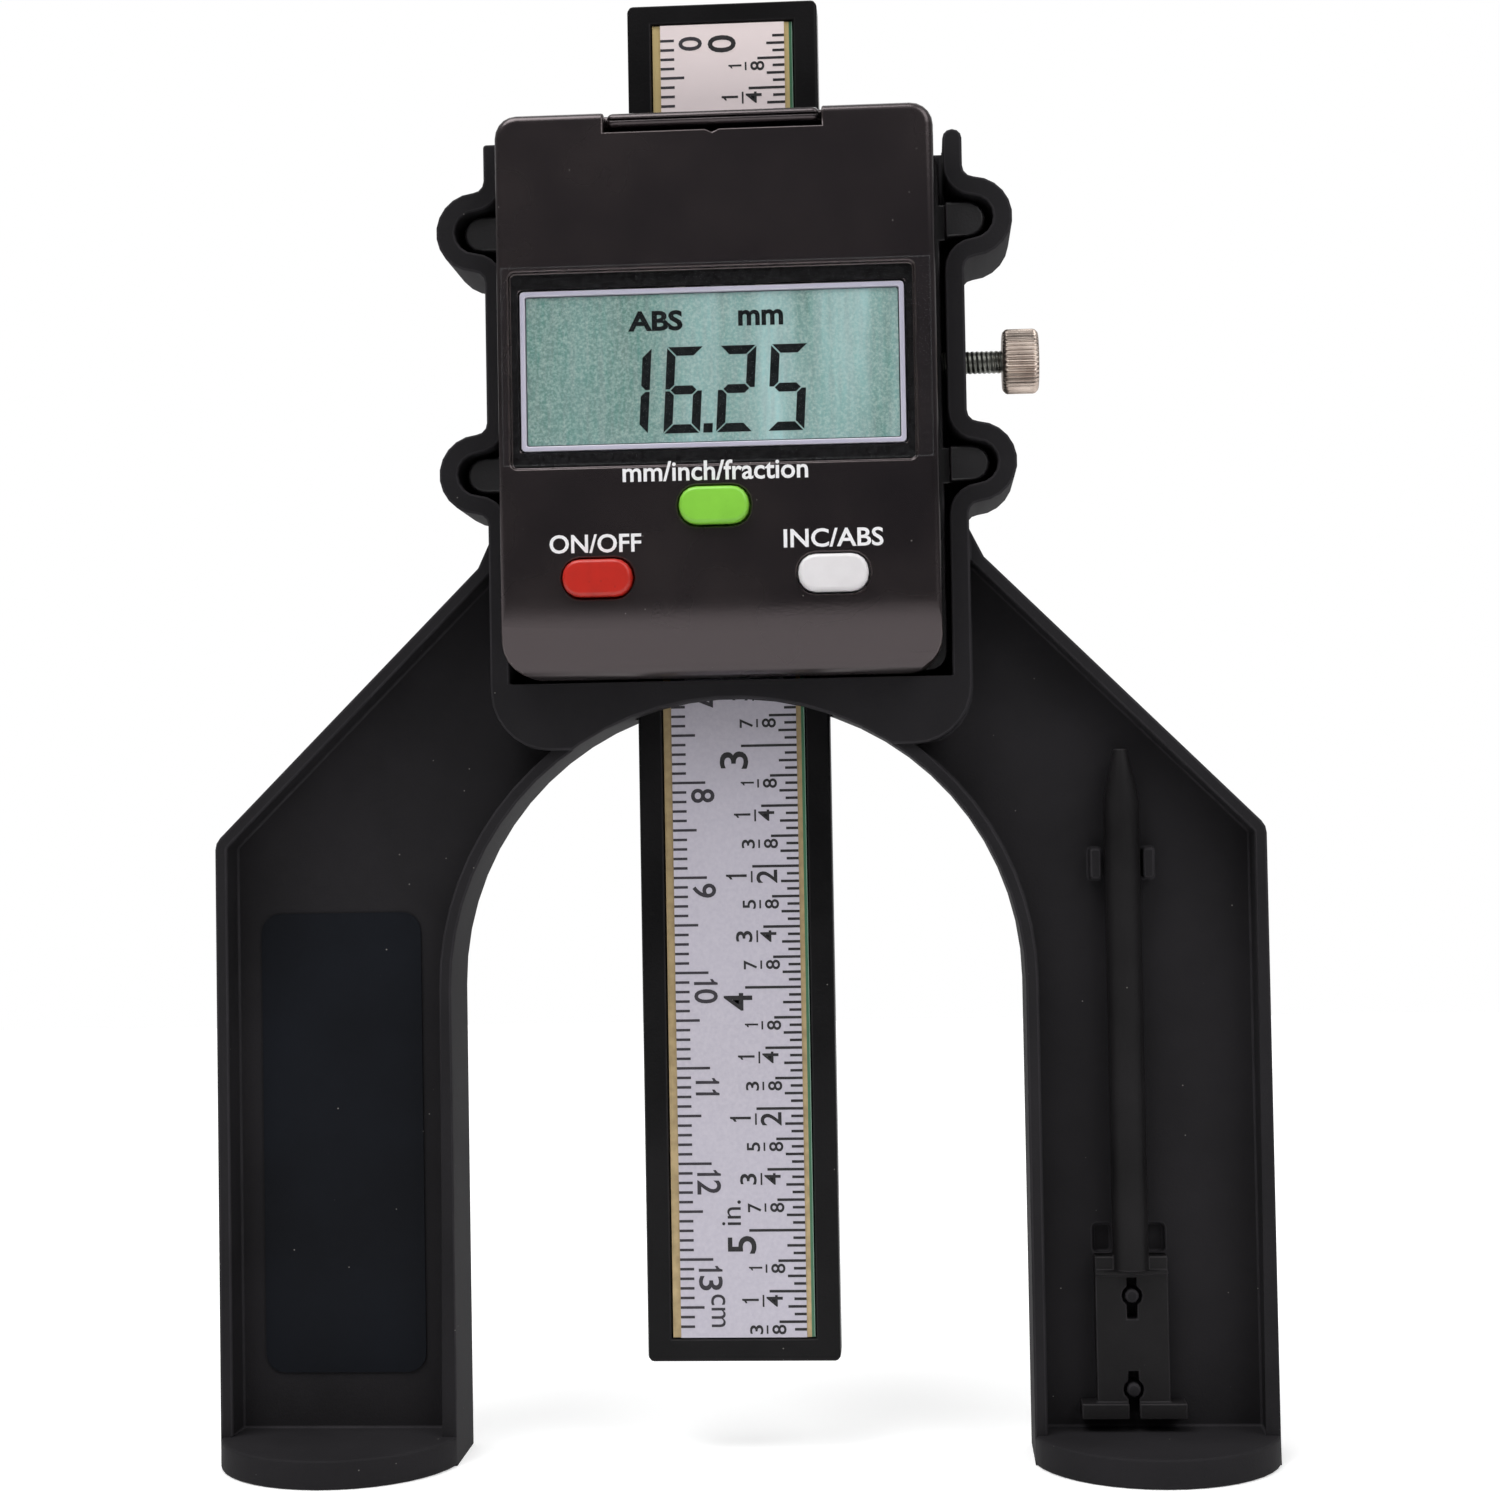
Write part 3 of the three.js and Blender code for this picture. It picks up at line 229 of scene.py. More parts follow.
def eased(source, finish, edge):
    """A copy of a CAD node with its sharp edges rounded, standing for the node.

    Loose triangles are merged and faces in one plane joined, and the copy is shaded smooth between
    its sharp edges."""
    piece = bpy.data.objects.new(source + "_eased", nodes[source].data.copy())
    shape = bmesh.new()
    shape.from_mesh(piece.data)
    bmesh.ops.remove_doubles(shape, verts=shape.verts[:], dist=weld_gap)
    bmesh.ops.dissolve_limit(shape, angle_limit=flat_turn, verts=shape.verts[:], edges=shape.edges[:])
    bmesh.ops.recalc_face_normals(shape, faces=shape.faces[:])
    if edge:
        shape = rounded_edges(shape, edge)
    for face in shape.faces:
        face.smooth = True
    shape.to_mesh(piece.data)
    shape.free()
    piece.data.set_sharp_from_angle(angle=sharp_turn)
    weights = piece.modifiers.new("flat faces lead", "WEIGHTED_NORMAL")
    weights.keep_sharp = True
    place_piece(piece, finish, body_of[source])
    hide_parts(source)


base_abs = moulded("abs_fine_matt_black", "#1f1e20", "#39373a", 0.74, shine=0.1)
eased("bridge_base", base_abs, base_edge)

# Foot magnets: four sintered discs pressed into the underside of the foot plates.
# They are nickel plated, so they are bright with a slight waviness and fine handling scratches.
magnet_edge = 0.2 * mm


def metal(name, colour, dull, roughness, streak=(1, 1, 1), relief=0.004 * mm):
    """Bare or plated metal: stretched noise gives tool marks in gloss and height, and dull spots tarnish.

    Streak is how many times finer the marks are along X, Y and Z than 1 mm."""
    finish, tree, place = new_finish(name)
    drawn = node(tree, "Mapping", {"Vector": place, "Scale": streak})
    marks = node(tree, "TexNoise", {"Vector": drawn, "Scale": 1 / mm, "Detail": 4.0, "Roughness": 0.6})
    stain = node(tree, "TexNoise", {"Vector": place, "Scale": 1 / (3 * mm), "Detail": 3.0})
    stain = node(tree, "MapRange", {"Value": stain, "From Min": 0.4, "From Max": 0.75})
    body = node(tree, "Mix", {"Factor": stain, "A": linear(colour), "B": linear(dull)}, data_type="RGBA")
    gloss = node(tree, "MapRange", {"Value": marks, "From Min": 0.3, "From Max": 0.7,
                                    "To Min": roughness - 0.07, "To Max": roughness + 0.1})
    bump = node(tree, "Bump", {"Height": marks, "Distance": relief, "Strength": 1.0})
    shader = node(tree, "BsdfPrincipled", {
        "Base Color": body, "Metallic": 1.0, "Roughness": gloss, "Normal": bump})
    node(tree, "OutputMaterial", {"Surface": shader})
    return finish


magnet_nickel = metal("nickel_plate_bright", "#cfccc8", "#a39e98", 0.22)
for count in (1, 2, 3, 4):
    eased(f"foot_magnet_{count}", magnet_nickel, magnet_edge)

# Rear housing: the black ABS back half of the display module, with four lug pads in the tower's loops.
# Four zinc plated pan head screws hold it in the tower, and four more close it onto the front cover.
housing_edge = 0.2 * mm
screw_edge = 0.12 * mm
housing_abs = moulded("abs_satin_black", "#1b1a1c", "#403d40", 0.4)
eased("rear_housing", housing_abs, housing_edge)
zinc_steel = metal("zinc_plated_steel", "#b4b4b6", "#8a8a8c", 0.3, streak=(3, 3, 0.6))
for count in (1, 2, 3, 4):
    eased(f"module_screw_{count}", zinc_steel, screw_edge)
    eased(f"cover_screw_{count}", zinc_steel, screw_edge)

# Circuit board: glass filled epoxy laminate under green solder resist, with copper tracks in relief.
# It carries the controller chip and three small steel domed switches, soldered on its front.
track_pitch = 1.27 * mm
track_width_share = 0.28
wave_repeat = math.pi / 10
chip_edge = 0.08 * mm
switch_edge = 0.1 * mm


def laminate():
    """Green solder resist over copper: tracks are bands of a bent wave, and the weave shows faintly."""
    finish, tree, place = new_finish("glass_epoxy_green_resist")
    bent = node(tree, "TexVoronoi", {"Vector": place, "Scale": 1 / (9 * mm)}, feature="F1", take="Color")
    lanes = node(tree, "Mix", {"Factor": 0.004, "A": place, "B": bent}, data_type="VECTOR")
    tracks = node(tree, "TexWave", {"Vector": lanes, "Scale": wave_repeat / track_pitch},
                  bands_direction="Z", wave_profile="SAW", take="Fac")
    tracks = node(tree, "MapRange", {"Value": tracks, "From Min": track_width_share,
                                     "From Max": track_width_share + 0.05})
    weave = node(tree, "TexNoise", {"Vector": place, "Scale": 1 / (0.5 * mm), "Detail": 2.0})
    body = node(tree, "Mix", {"Factor": tracks, "A": linear("#2f6b4a"), "B": linear("#1f4d35")},
                data_type="RGBA")
    bump = node(tree, "Bump", {"Height": tracks, "Distance": -0.03 * mm, "Strength": 0.6})
    gloss = node(tree, "MapRange", {"Value": weave, "To Min": 0.25, "To Max": 0.4})
    shader = node(tree, "BsdfPrincipled", {
        "Base Color": body, "Roughness": gloss, "Normal": bump, "IOR": 1.55})
    node(tree, "OutputMaterial", {"Surface": shader})
    return finish


chip_epoxy = moulded("epoxy_chip_black", "#1a1a1b", "#2e2e30", 0.6, dust=0.0)
spring_steel = metal("spring_steel_bright", "#a9a8a4", "#7d7a74", 0.28, streak=(0.4, 3, 3))
eased("circuit_board", laminate(), 0)
eased("controller_chip", chip_epoxy, chip_edge)
for use in ("units", "power", "mode"):
    eased(f"switch_{use}", spring_steel, switch_edge)

# Screen: a liquid crystal glass in a silver printed frame, joined to the board by a rubber connector.
# The glass is green with a fine slanting grain, and turns paler and bluer to its right.
# Its figures are black segments, which show a typical reading.
screen_low, screen_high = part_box("screen_glass")
streak_size = 5 * mm
grain_pitch = 0.45 * mm
spot_wide = 0.3 * mm
figure_low = 106.35 * mm
figure_tall = 8.85 * mm
figure_wide = 3.75 * mm
figure_slant = 0.06
figure_lefts = np.array([-11.35, -6.0, -0.6, 4.65]) * mm
segment_wide = 0.9 * mm
segment_gap = 0.1 * mm
point_side = 0.95 * mm
point_left = -1.92 * mm
ink_depth = 0.02 * mm
ink_front = screen_low.y - ink_depth
digit_gap_share = 0.2
digit_weight = 0.012
frame_edge = 0.12 * mm


def screen_finish():
    """Display glass: two greens mixed across X, lightened by slanted streaks, under a clear coat."""
    finish, tree, place = new_finish("liquid_crystal_glass")
    across = node(tree, "SeparateXYZ", {"Vector": place}, take="X")
    across = node(tree, "MapRange", {"Value": across, "From Min": screen_low.x, "From Max": screen_high.x})
    slanted = node(tree, "Mapping", {"Vector": place, "Rotation": (0, math.radians(-38), 0),
                                     "Scale": (1, 1, 0.08)})
    streaks = node(tree, "TexNoise", {"Vector": slanted, "Scale": 1 / streak_size, "Detail": 3.0})
    streaks = node(tree, "MapRange", {"Value": streaks, "From Min": 0.35, "From Max": 0.7})
    pale = node(tree, "Math", {0: across, 1: streaks}, operation="MULTIPLY")
    body = node(tree, "Mix", {"Factor": pale, "A": linear("#5c8d83"), "B": linear("#c6f2f4")},
                data_type="RGBA")
    fine = node(tree, "Mapping", {"Vector": place, "Rotation": (0, math.radians(-52), 0),
                                  "Scale": (1, 1, 0.1)})
    fine = node(tree, "TexNoise", {"Vector": fine, "Scale": 1 / grain_pitch, "Detail": 2.0})
    fine = node(tree, "MapRange", {"Value": fine, "From Min": 0.3, "From Max": 0.7, "To Max": 0.3})
    body = node(tree, "Mix", {"Factor": fine, "A": body, "B": linear("#9d9a9c")}, data_type="RGBA")
    spots = node(tree, "TexNoise", {"Vector": place, "Scale": 1 / spot_wide, "Detail": 2.0, "Roughness": 0.7})
    spots = node(tree, "MapRange", {"Value": spots, "From Min": 0.4, "From Max": 0.75, "To Max": 0.5})
    body = node(tree, "Mix", {"Factor": spots, "A": body, "B": linear("#cfe3dd")}, data_type="RGBA")
    shader = node(tree, "BsdfPrincipled", {
        "Base Color": body, "Roughness": 0.35, "IOR": 1.52, "Coat Weight": 1.0, "Coat Roughness": 0.04})
    node(tree, "OutputMaterial", {"Surface": shader})
    return finish


def printed(name, colour, roughness=0.55, shine=0.5):
    """Printed ink, also used for painted shade: an even film whose cover varies a little with the mesh of the
    screen print.
    """
    finish, tree, place = new_finish(name)
    cover = node(tree, "TexNoise", {"Vector": place, "Scale": 1 / (0.4 * mm), "Detail": 2.0})
    cover = node(tree, "MapRange", {"Value": cover, "From Min": 0.3, "From Max": 0.7, "To Max": 0.06})
    body = node(tree, "Mix", {"Factor": cover, "A": linear(colour), "B": linear("#77767a")},
                data_type="RGBA")
    shader = node(tree, "BsdfPrincipled", {
        "Base Color": body, "Roughness": roughness, "IOR": 1.48, "Specular IOR Level": shine})
    node(tree, "OutputMaterial", {"Surface": shader})
    return finish


def corners_of(boxes):
    """The outlines of upright rectangles, from rows of left, low, right and high."""
    left, low, right, high = np.array(boxes).T
    return np.stack([left, low, right, low, right, high, left, high], axis=-1).reshape(-1, 4, 2)


def raised(outlines, front, back):
    """Thin flat solids from outlines in X and Z, shaped (count, corners, 2): a front, a back and sides."""
    count, corners = outlines.shape[:2]
    near = np.insert(outlines, 1, front, axis=2)
    far = np.insert(outlines, 1, back, axis=2)
    points = np.concatenate([near, far], axis=1).reshape(-1, 3)
    first = np.arange(count)[:, None] * 2 * corners
    ring = np.arange(corners)
    ahead_faces = first + ring
    back_faces = first + corners + ring[::-1]
    beside = np.roll(ring, -1)
    walls = np.stack([ring, ring + corners, beside + corners, beside], axis=-1)
    walls = (first[:, :, None] + walls).reshape(-1, 4)
    return points, ahead_faces.tolist() + back_faces.tolist() + walls.tolist()


def solid_from(name, parts):
    """One mesh object from several lots of points and faces, each lot's faces counted after the last."""
    points, faces = [], []
    for lot_points, lot_faces in parts:
        start = sum(len(lot) for lot in points)
        points.append(lot_points)
        faces += [[start + corner for corner in face] for face in lot_faces]
    mesh = bpy.data.meshes.new(name)
    mesh.from_pydata(np.concatenate(points).tolist(), [], faces)
    shape = bmesh.new()
    shape.from_mesh(mesh)
    bmesh.ops.recalc_face_normals(shape, faces=shape.faces[:])
    shape.to_mesh(mesh)
    shape.free()
    return bpy.data.objects.new(name, mesh)


def segment_outlines(lit):
    """The lit bars of one figure as six cornered outlines in a box one figure wide and tall.

    A bar is a line between two of the figure's six joints. Its end is cut at 45 degrees towards the
    figure's middle where it meets a corner, and comes to a point where it meets the middle bar."""
    half = segment_wide / 2
    left, right = half, figure_wide - half
    low, middle, high = half, figure_tall / 2, figure_tall - half
    bars = {"top": ((left, high), (right, high), -1, -1), "middle": ((left, middle), (right, middle), 0, 0),
            "bottom": ((left, low), (right, low), 1, 1),
            "upper_left": ((left, middle), (left, high), -0.5, -1),
            "upper_right": ((right, middle), (right, high), 0.5, 1),
            "lower_left": ((left, low), (left, middle), -1, -0.5),
            "lower_right": ((right, low), (right, middle), 1, 0.5)}
    outlines = []
    for name in lit:
        start, end, start_cut, end_cut = bars[name]
        start, end = np.array(start), np.array(end)
        along = (end - start) / np.linalg.norm(end - start)
        inward = np.array([-along[1], along[0]])
        start = start + along * segment_gap
        end = end - along * segment_gap
        corners = [start]
        for point, cut, way, flank in ((start, start_cut, 1, 1), (end, end_cut, -1, 1), (end, 0, 0, 0),
                                       (end, end_cut, -1, -1), (start, start_cut, 1, -1)):
            back = half * (1 - abs(cut) + cut * flank)
            corners.append(point + way * back * along + flank * half * inward)
        outlines.append(corners)
    return np.array(outlines)


def slanted(outlines, left):
    """Outlines moved to the figure's left edge and leaned to the right by the slant times their height."""
    moved = outlines.copy()
    moved[..., 0] += left + figure_slant * outlines[..., 1]
    moved[..., 1] += figure_low
    return moved


def letter_outline(words, weight):
    """Words in Blender's own typeface as a solid one unit deep: its points and faces."""
    curve = bpy.data.curves.new("letters", "FONT")
    curve.body = words
    curve.extrude = 0.5
    curve.offset = weight
    curve.resolution_u = 4
    shape = bpy.data.objects.new("letters", curve)
    mesh = bpy.data.meshes.new_from_object(shape)
    points = np.zeros(len(mesh.vertices) * 3)
    mesh.vertices.foreach_get("co", points)
    faces = [list(face.vertices) for face in mesh.polygons]
    bpy.data.objects.remove(shape)
    bpy.data.curves.remove(curve)
    bpy.data.meshes.remove(mesh)
    return points.reshape(-1, 3), faces


def digit_outline(digit):
    """One digit as a solid in a box one unit wide, tall and deep, and the width that it fills of the box.

    The typeface's one is a bare stroke, so it gets an outline of its own, with a flag."""
    if digit != "1":
        points, faces = letter_outline(digit, digit_weight)
        low, high = points.min(axis=0), points.max(axis=0)
        return (points - low) / (high - low) - (0, 0, 0.5), faces, 1.0
    flagged = np.array([[[0.39, 0], [0.6, 0], [0.6, 1], [0.45, 1], [0.38, 0.87], [0.2, 0.79], [0.2, 0.68],
                         [0.4, 0.74]]])
    points, faces = raised(flagged, 0.5, -0.5)
    return points[:, (0, 2, 1)] - (0.1, 0, 0), faces, 0.6


def lettering(words, tall, centre, front, wide=None, digit=None, turn=0, weight=0.0):
    """Words as a thin solid in the plane of X and Z, centred on a point and turned by quarter turns.

    Letters are scaled to their height and width, and digits are set one by one at the width of a digit."""
    if digit:
        lots, reach = [], 0.0
        for letter in words:
            points, faces, fill = digit_outline(letter)
            lots.append((points * (digit, tall, 1) + (reach, 0, 0), faces))
            reach += digit * (fill + digit_gap_share)
        starts = np.cumsum([0] + [len(points) for points, faces in lots])
        points = np.concatenate([points for points, faces in lots])
        faces = [[start + corner for corner in face] for start, (_, lot) in zip(starts, lots) for face in lot]
    else:
        points, faces = letter_outline(words, weight)
        size = np.ptp(points, axis=0)
        points = points * (wide / size[0], tall / size[1], 1)
    low, high = points.min(axis=0), points.max(axis=0)
    flat = (points - (low + high) / 2)[:, :2]
    quarter = math.pi / 2 * turn
    spun = flat @ np.array([[math.cos(quarter), math.sin(quarter)], [-math.sin(quarter), math.cos(quarter)]])
    depth = front + ink_depth * (0.5 - points[:, 2])
    return np.stack([centre[0] + spun[:, 0], depth, centre[1] + spun[:, 1]], axis=-1), faces


lit_bars = (("upper_right", "lower_right"),
            ("top", "upper_left", "middle", "lower_left", "lower_right", "bottom"),
            ("top", "upper_right", "middle", "lower_left", "bottom"),
            ("top", "upper_left", "middle", "lower_right", "bottom"))
figures = [slanted(segment_outlines(lit), left) for lit, left in zip(lit_bars, figure_lefts)]
figures.append(slanted(corners_of([(0, 0, point_side, point_side)]), point_left))
segments = [raised(outlines, ink_front, screen_low.y) for outlines in figures]
for words, tall, wide, weight, (x, z) in (("ABS", 2.1, 5.6, 0.035, (-6.65, 117.95)),
                                          ("mm", 1.6, 4.6, 0.03, (4.15, 118.0))):
    segments.append(lettering(words, tall * mm, (x * mm, z * mm), ink_front, wide=wide * mm, weight=weight))
crystal_ink = printed("crystal_segment_black", "#060d0f", 0.6, shine=0.1)
place_piece(solid_from("screen_figures", segments), crystal_ink, "gauge_body")
eased("screen_glass", screen_finish(), 0)
silver_print = moulded("silver_printed_frame", "#bfbcd0", "#dedbe6", 0.35, relief=0.004 * mm, dust=0.0)
eased("screen_frame", silver_print, frame_edge)
carbon_rubber = moulded("silicone_rubber_grey", "#48484c", "#5a5a5e", 0.7, dust=0.2)
eased("screen_connector", carbon_rubber, 0)

# Buttons: three stadium shaped caps of satin ABS in green, red and white, each on a short plunger.
# Their faces are nearly flat with a soft edge, and the red one has a few tiny bubbles in it.
plunger_edge = 0.1 * mm
bubble_pitch = 0.9 * mm


def cap_plastic(name, colour, deep, bubbles):
    """Satin coloured ABS: soft light inside it, faint clouds, and bubbles as dark points of a pattern."""
    finish, tree, place = new_finish(name)
    clouds = node(tree, "TexNoise", {"Vector": place, "Scale": 1 / (2.5 * mm), "Detail": 3.0})
    clouds = node(tree, "MapRange", {"Value": clouds, "From Min": 0.3, "From Max": 0.7, "To Max": 0.3})
    body = node(tree, "Mix", {"Factor": clouds, "A": linear(colour), "B": linear(deep)}, data_type="RGBA")
    pits = node(tree, "TexVoronoi", {"Vector": place, "Scale": 1 / bubble_pitch}, take="Distance")
    pits = node(tree, "MapRange", {"Value": pits, "From Min": 0.16, "From Max": 0.1, "To Max": bubbles})
    body = node(tree, "Mix", {"Factor": pits, "A": body, "B": linear(deep)}, data_type="RGBA")
    fine = node(tree, "TexNoise", {"Vector": place, "Scale": 1 / (0.25 * mm), "Detail": 2.0})
    bump = node(tree, "Bump", {"Height": fine, "Distance": 0.008 * mm, "Strength": 1.0})
    shader = node(tree, "BsdfPrincipled", {
        "Base Color": body, "Roughness": 0.38, "Normal": bump, "IOR": 1.53,
        "Subsurface Weight": 0.1, "Subsurface Radius": (1.0, 1.0, 1.0), "Subsurface Scale": 0.4 * mm})
    node(tree, "OutputMaterial", {"Surface": shader})
    return finish


cap_finishes = {
    "units": cap_plastic("abs_satin_green", "#90db46", "#70b834", 0.1),
    "power": cap_plastic("abs_satin_red", "#cc2618", "#8e1d14", 0.35),
    "mode": cap_plastic("abs_satin_white", "#efecee", "#dcd8da", 0.05),
}
for use, finish in cap_finishes.items():
    eased(f"button_{use}", finish, 0)
    eased(f"plunger_{use}", chip_epoxy, plunger_edge)

# Front cover: the satin black ABS face of the module, with the screen's recess and the button holes.
# Its lower edge slopes back, its functions are printed in white, and it snaps over the rear housing.
# A near-black sheet on the floor of the recess round the screen is painted shade.
cover_edge = 0.2 * mm
print_weight = 0.016
recess_depth = 0.6 * mm
recess_left, recess_right = -21.52 * mm, 19.72 * mm
recess_low, recess_high = 103.03 * mm, 123.07 * mm
border_gap = 0.15 * mm
cover_abs = moulded("abs_satin_charcoal", "#131114", "#38312f", 0.26, relief=0.01 * mm, shine=0.7,
                     tint="#ffeef1")
eased("front_cover", cover_abs, cover_edge)
cover_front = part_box("front_cover")[0].y
print_white = printed("white_print", "#fbfafc", 0.5)
functions = (("mm/inch/fraction", 2.05, 18.9, (-0.7, 102.35)), ("ON/OFF", 1.9, 9.4, (-13.05, 95.15)),
             ("INC/ABS", 1.9, 10.1, (11.2, 95.2)))
prints = [lettering(words, tall * mm, (x * mm, z * mm), cover_front - ink_depth, wide=wide * mm,
                    weight=print_weight) for words, tall, wide, (x, z) in functions]
place_piece(solid_from("cover_print", prints), print_white, "gauge_body")
recess_floor = cover_front + recess_depth
frame_low, frame_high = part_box("screen_frame")
inner_left, inner_right = frame_low.x - border_gap, frame_high.x + border_gap
inner_low, inner_high = frame_low.z - border_gap, frame_high.z + border_gap
# Painted shade: near-black bars over the recess floor round the screen's frame stand for the shade in the
# recess.
recess_shade_bars = raised(corners_of([(recess_left, recess_low, recess_right, inner_low),
                            (recess_left, inner_high, recess_right, recess_high),
                            (recess_left, inner_low, inner_left, inner_high),
                            (inner_right, inner_low, recess_right, inner_high)]),
                recess_floor - ink_depth, recess_floor)
recess_shade_paint = printed("painted_recess_shade_black", "#0b0a0b", 0.7, shine=0.05)
place_piece(solid_from("painted_recess_shade", [recess_shade_bars]), recess_shade_paint, "gauge_body")

# Screen film: a clear protective film stuck over the screen's recess by hand, a little askew.
# It is nearly invisible, and shows by its cut edges and a gloss that varies along its wrinkles.
film_low, film_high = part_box("screen_film")
film_margin = 0.1 * mm
film_turn = math.radians(-0.075)
film_rise = 0.03 * mm
film_thick = 0.02 * mm
film_rim = 0.4 * mm
film_columns, film_rows = 120, 60


def film_surface():
    """A film as a grid over X and Z: a rectangle turned slightly, with low waves in Y, given a thickness."""
    across = np.linspace(film_low.x + film_margin, film_high.x - film_margin, film_columns)
    up = np.linspace(film_low.z + film_margin, film_high.z - film_margin, film_rows)
    x, z = np.meshgrid(across, up, indexing="ij")
    wave = np.sin(x / (3.1 * mm) + 0.7 * np.sin(z / (2.3 * mm))) * np.sin(z / (2.7 * mm) + x / (9 * mm))
    y = film_low.y + film_rise * (0.5 + 0.4 * wave)
    points = np.stack([x, y, z + film_turn * (x - x.mean())], axis=-1)
    index = np.arange(x.size).reshape(x.shape)
    faces = np.stack([index[:-1, :-1], index[1:, :-1], index[1:, 1:], index[:-1, 1:]], axis=-1)
    mesh = bpy.data.meshes.new("screen_film_sheet")
    mesh.from_pydata(points.reshape(-1, 3).tolist(), [], faces.reshape(-1, 4).tolist())
    inset = np.minimum(np.minimum(x - across[0], across[-1] - x), np.minimum(z - up[0], up[-1] - z))
    edge = mesh.attributes.new("edge", "FLOAT", "POINT")
    edge.data.foreach_set("value", np.clip(1 - inset / film_rim, 0, 1).ravel())
    mesh.polygons.foreach_set("use_smooth", np.ones(len(mesh.polygons), bool))
    sheet = bpy.data.objects.new("screen_film_sheet", mesh)
    wall = sheet.modifiers.new("film thickness", "SOLIDIFY")
    wall.thickness = film_thick
    wall.offset = -1
    return sheet


def film_finish():
    """Clear polyester film: nearly see-through, hazier at its cut edge, duller along its wrinkles."""
    finish, tree, place = new_finish("polyester_film_clear")
    stretched = node(tree, "Mapping", {"Vector": place, "Rotation": (0, math.radians(25), 0),
                                       "Scale": (1, 1, 0.15)})
    creases = node(tree, "TexNoise", {"Vector": stretched, "Scale": 1 / (4 * mm), "Detail": 4.0})
    gloss = node(tree, "MapRange", {"Value": creases, "To Min": 0.25, "To Max": 0.4})
    edge = node(tree, "Attribute", attribute_name="edge", take="Fac")
    haze = node(tree, "MapRange", {"Value": edge, "From Min": 0.6, "To Min": 0.002, "To Max": 0.03})
    shader = node(tree, "BsdfPrincipled", {
        "Base Color": linear("#e8ecf0"), "Roughness": gloss, "IOR": 1.6, "Alpha": haze})
    node(tree, "OutputMaterial", {"Surface": shader})
    return finish


film = film_surface()
place_piece(film, film_finish(), "gauge_body")
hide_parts("screen_film")

# Battery drawer: a black ABS tray that slides up out of the module with its coin cell.
# Only its beaded lip shows in the notch. The cell is a rolled steel can, held by two sprung contacts.
drawer_edge = 0.15 * mm
cell_edge = 0.1 * mm
eased("battery_drawer", cover_abs, drawer_edge)
cell_steel = metal("rolled_steel_can", "#c4c3bf", "#a8a6a0", 0.25, streak=(0.5, 2, 4),
                   relief=0.0006 * mm)
eased("coin_cell", cell_steel, cell_edge)
for end in ("negative", "positive"):
    eased(f"contact_{end}", spring_steel, 0)

# Beam: a flat black ABS bar that slides through the module, kept from rattling by a leaf spring.
# A circuit strip lies in its long recess, with gold plated copper along its edges.
beam_edge = 0.18 * mm
gold_right = 7.1 * mm
pale_band_from = 7.38 * mm
# Painted light: from this height up to the top end, the strip's gold and the label are painted paler.
painted_light_low = 105 * mm
painted_light_high = 150 * mm
beam_abs = moulded("abs_beam_black", "#080809", "#2a282a", 0.36, shine=0.12)
eased("beam", beam_abs, beam_edge)
eased("beam_spring", spring_steel, 0)


def strip_finish():
    """Gold plated copper along both edges of green laminate, split on the place across the strip; the gold is
    painted paler towards the top end as painted light.
    """
    finish, tree, place = new_finish("gold_plated_copper_on_laminate")
    across = node(tree, "SeparateXYZ", {"Vector": place}, take="X")
    green = node(tree, "Math", {0: across, 1: gold_right}, operation="GREATER_THAN")
    wear = node(tree, "TexNoise", {"Vector": place, "Scale": 1 / (1.2 * mm), "Detail": 4.0})
    wear = node(tree, "MapRange", {"Value": wear, "From Min": 0.35, "From Max": 0.7})
    gold = node(tree, "Mix", {"Factor": wear, "A": linear("#c0a97f"), "B": linear("#a48f69")},
                data_type="RGBA")
    # Painted light: up the strip the gold is mixed towards a paler gold, a painted highlight on its top end.
    along = node(tree, "SeparateXYZ", {"Vector": place}, take="Z")
    painted_top_light = node(tree, "MapRange", {"Value": along, "From Min": painted_light_low, "From Max": painted_light_high})
    gold = node(tree, "Mix", {"Factor": painted_top_light, "A": gold, "B": linear("#ddc68c")}, data_type="RGBA")
    body = node(tree, "Mix", {"Factor": green, "A": gold, "B": linear("#3f7053")}, data_type="RGBA")
    # Beyond this line the strip is mixed to a paler green band along its right edge.
    cut = node(tree, "Math", {0: across, 1: pale_band_from}, operation="GREATER_THAN")
    body = node(tree, "Mix", {"Factor": cut, "A": body, "B": linear("#93b5a0")}, data_type="RGBA")
    plated = node(tree, "MapRange", {"Value": green, "To Min": 0.35, "To Max": 0.0})
    gloss = node(tree, "MapRange", {"Value": wear, "To Min": 0.28, "To Max": 0.42})
    shader = node(tree, "BsdfPrincipled", {
        "Base Color": body, "Metallic": plated, "Roughness": gloss})
    node(tree, "OutputMaterial", {"Surface": shader})
    return finish


eased("scale_circuit", strip_finish(), 0)

# Scale: a silver film printed in black, with millimetres on the left and inches on the right.
# Both scales count down from the same zero near the beam's top, and the film is glued to the strip.
label_low, label_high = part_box("scale_label")
label_front = label_low.y - ink_depth
scale_zero = 150.8 * mm
scale_long = scale_zero - 13.2 * mm
mark_line = 0.27 * mm
bar_line = 0.18 * mm
centimetre = 10 * mm
inch = 25.4 * mm
inch_part = inch / 32
millimetre_lengths = {10: 3.5, 5: 2.5, 1: 1.47}
inch_part_lengths = {32: 5.87, 16: 4.9, 8: 3.85, 4: 2.87, 2: 1.9, 1: 1.26}
last_centimetre, last_inch = 13, 5
centimetre_x, centimetre_drop = -3.4 * mm, 0.6 * mm
centimetre_tall, centimetre_wide = 2.5 * mm, 1.5 * mm
one_digit_half, two_digits_half = 0.78 * mm, 1.35 * mm
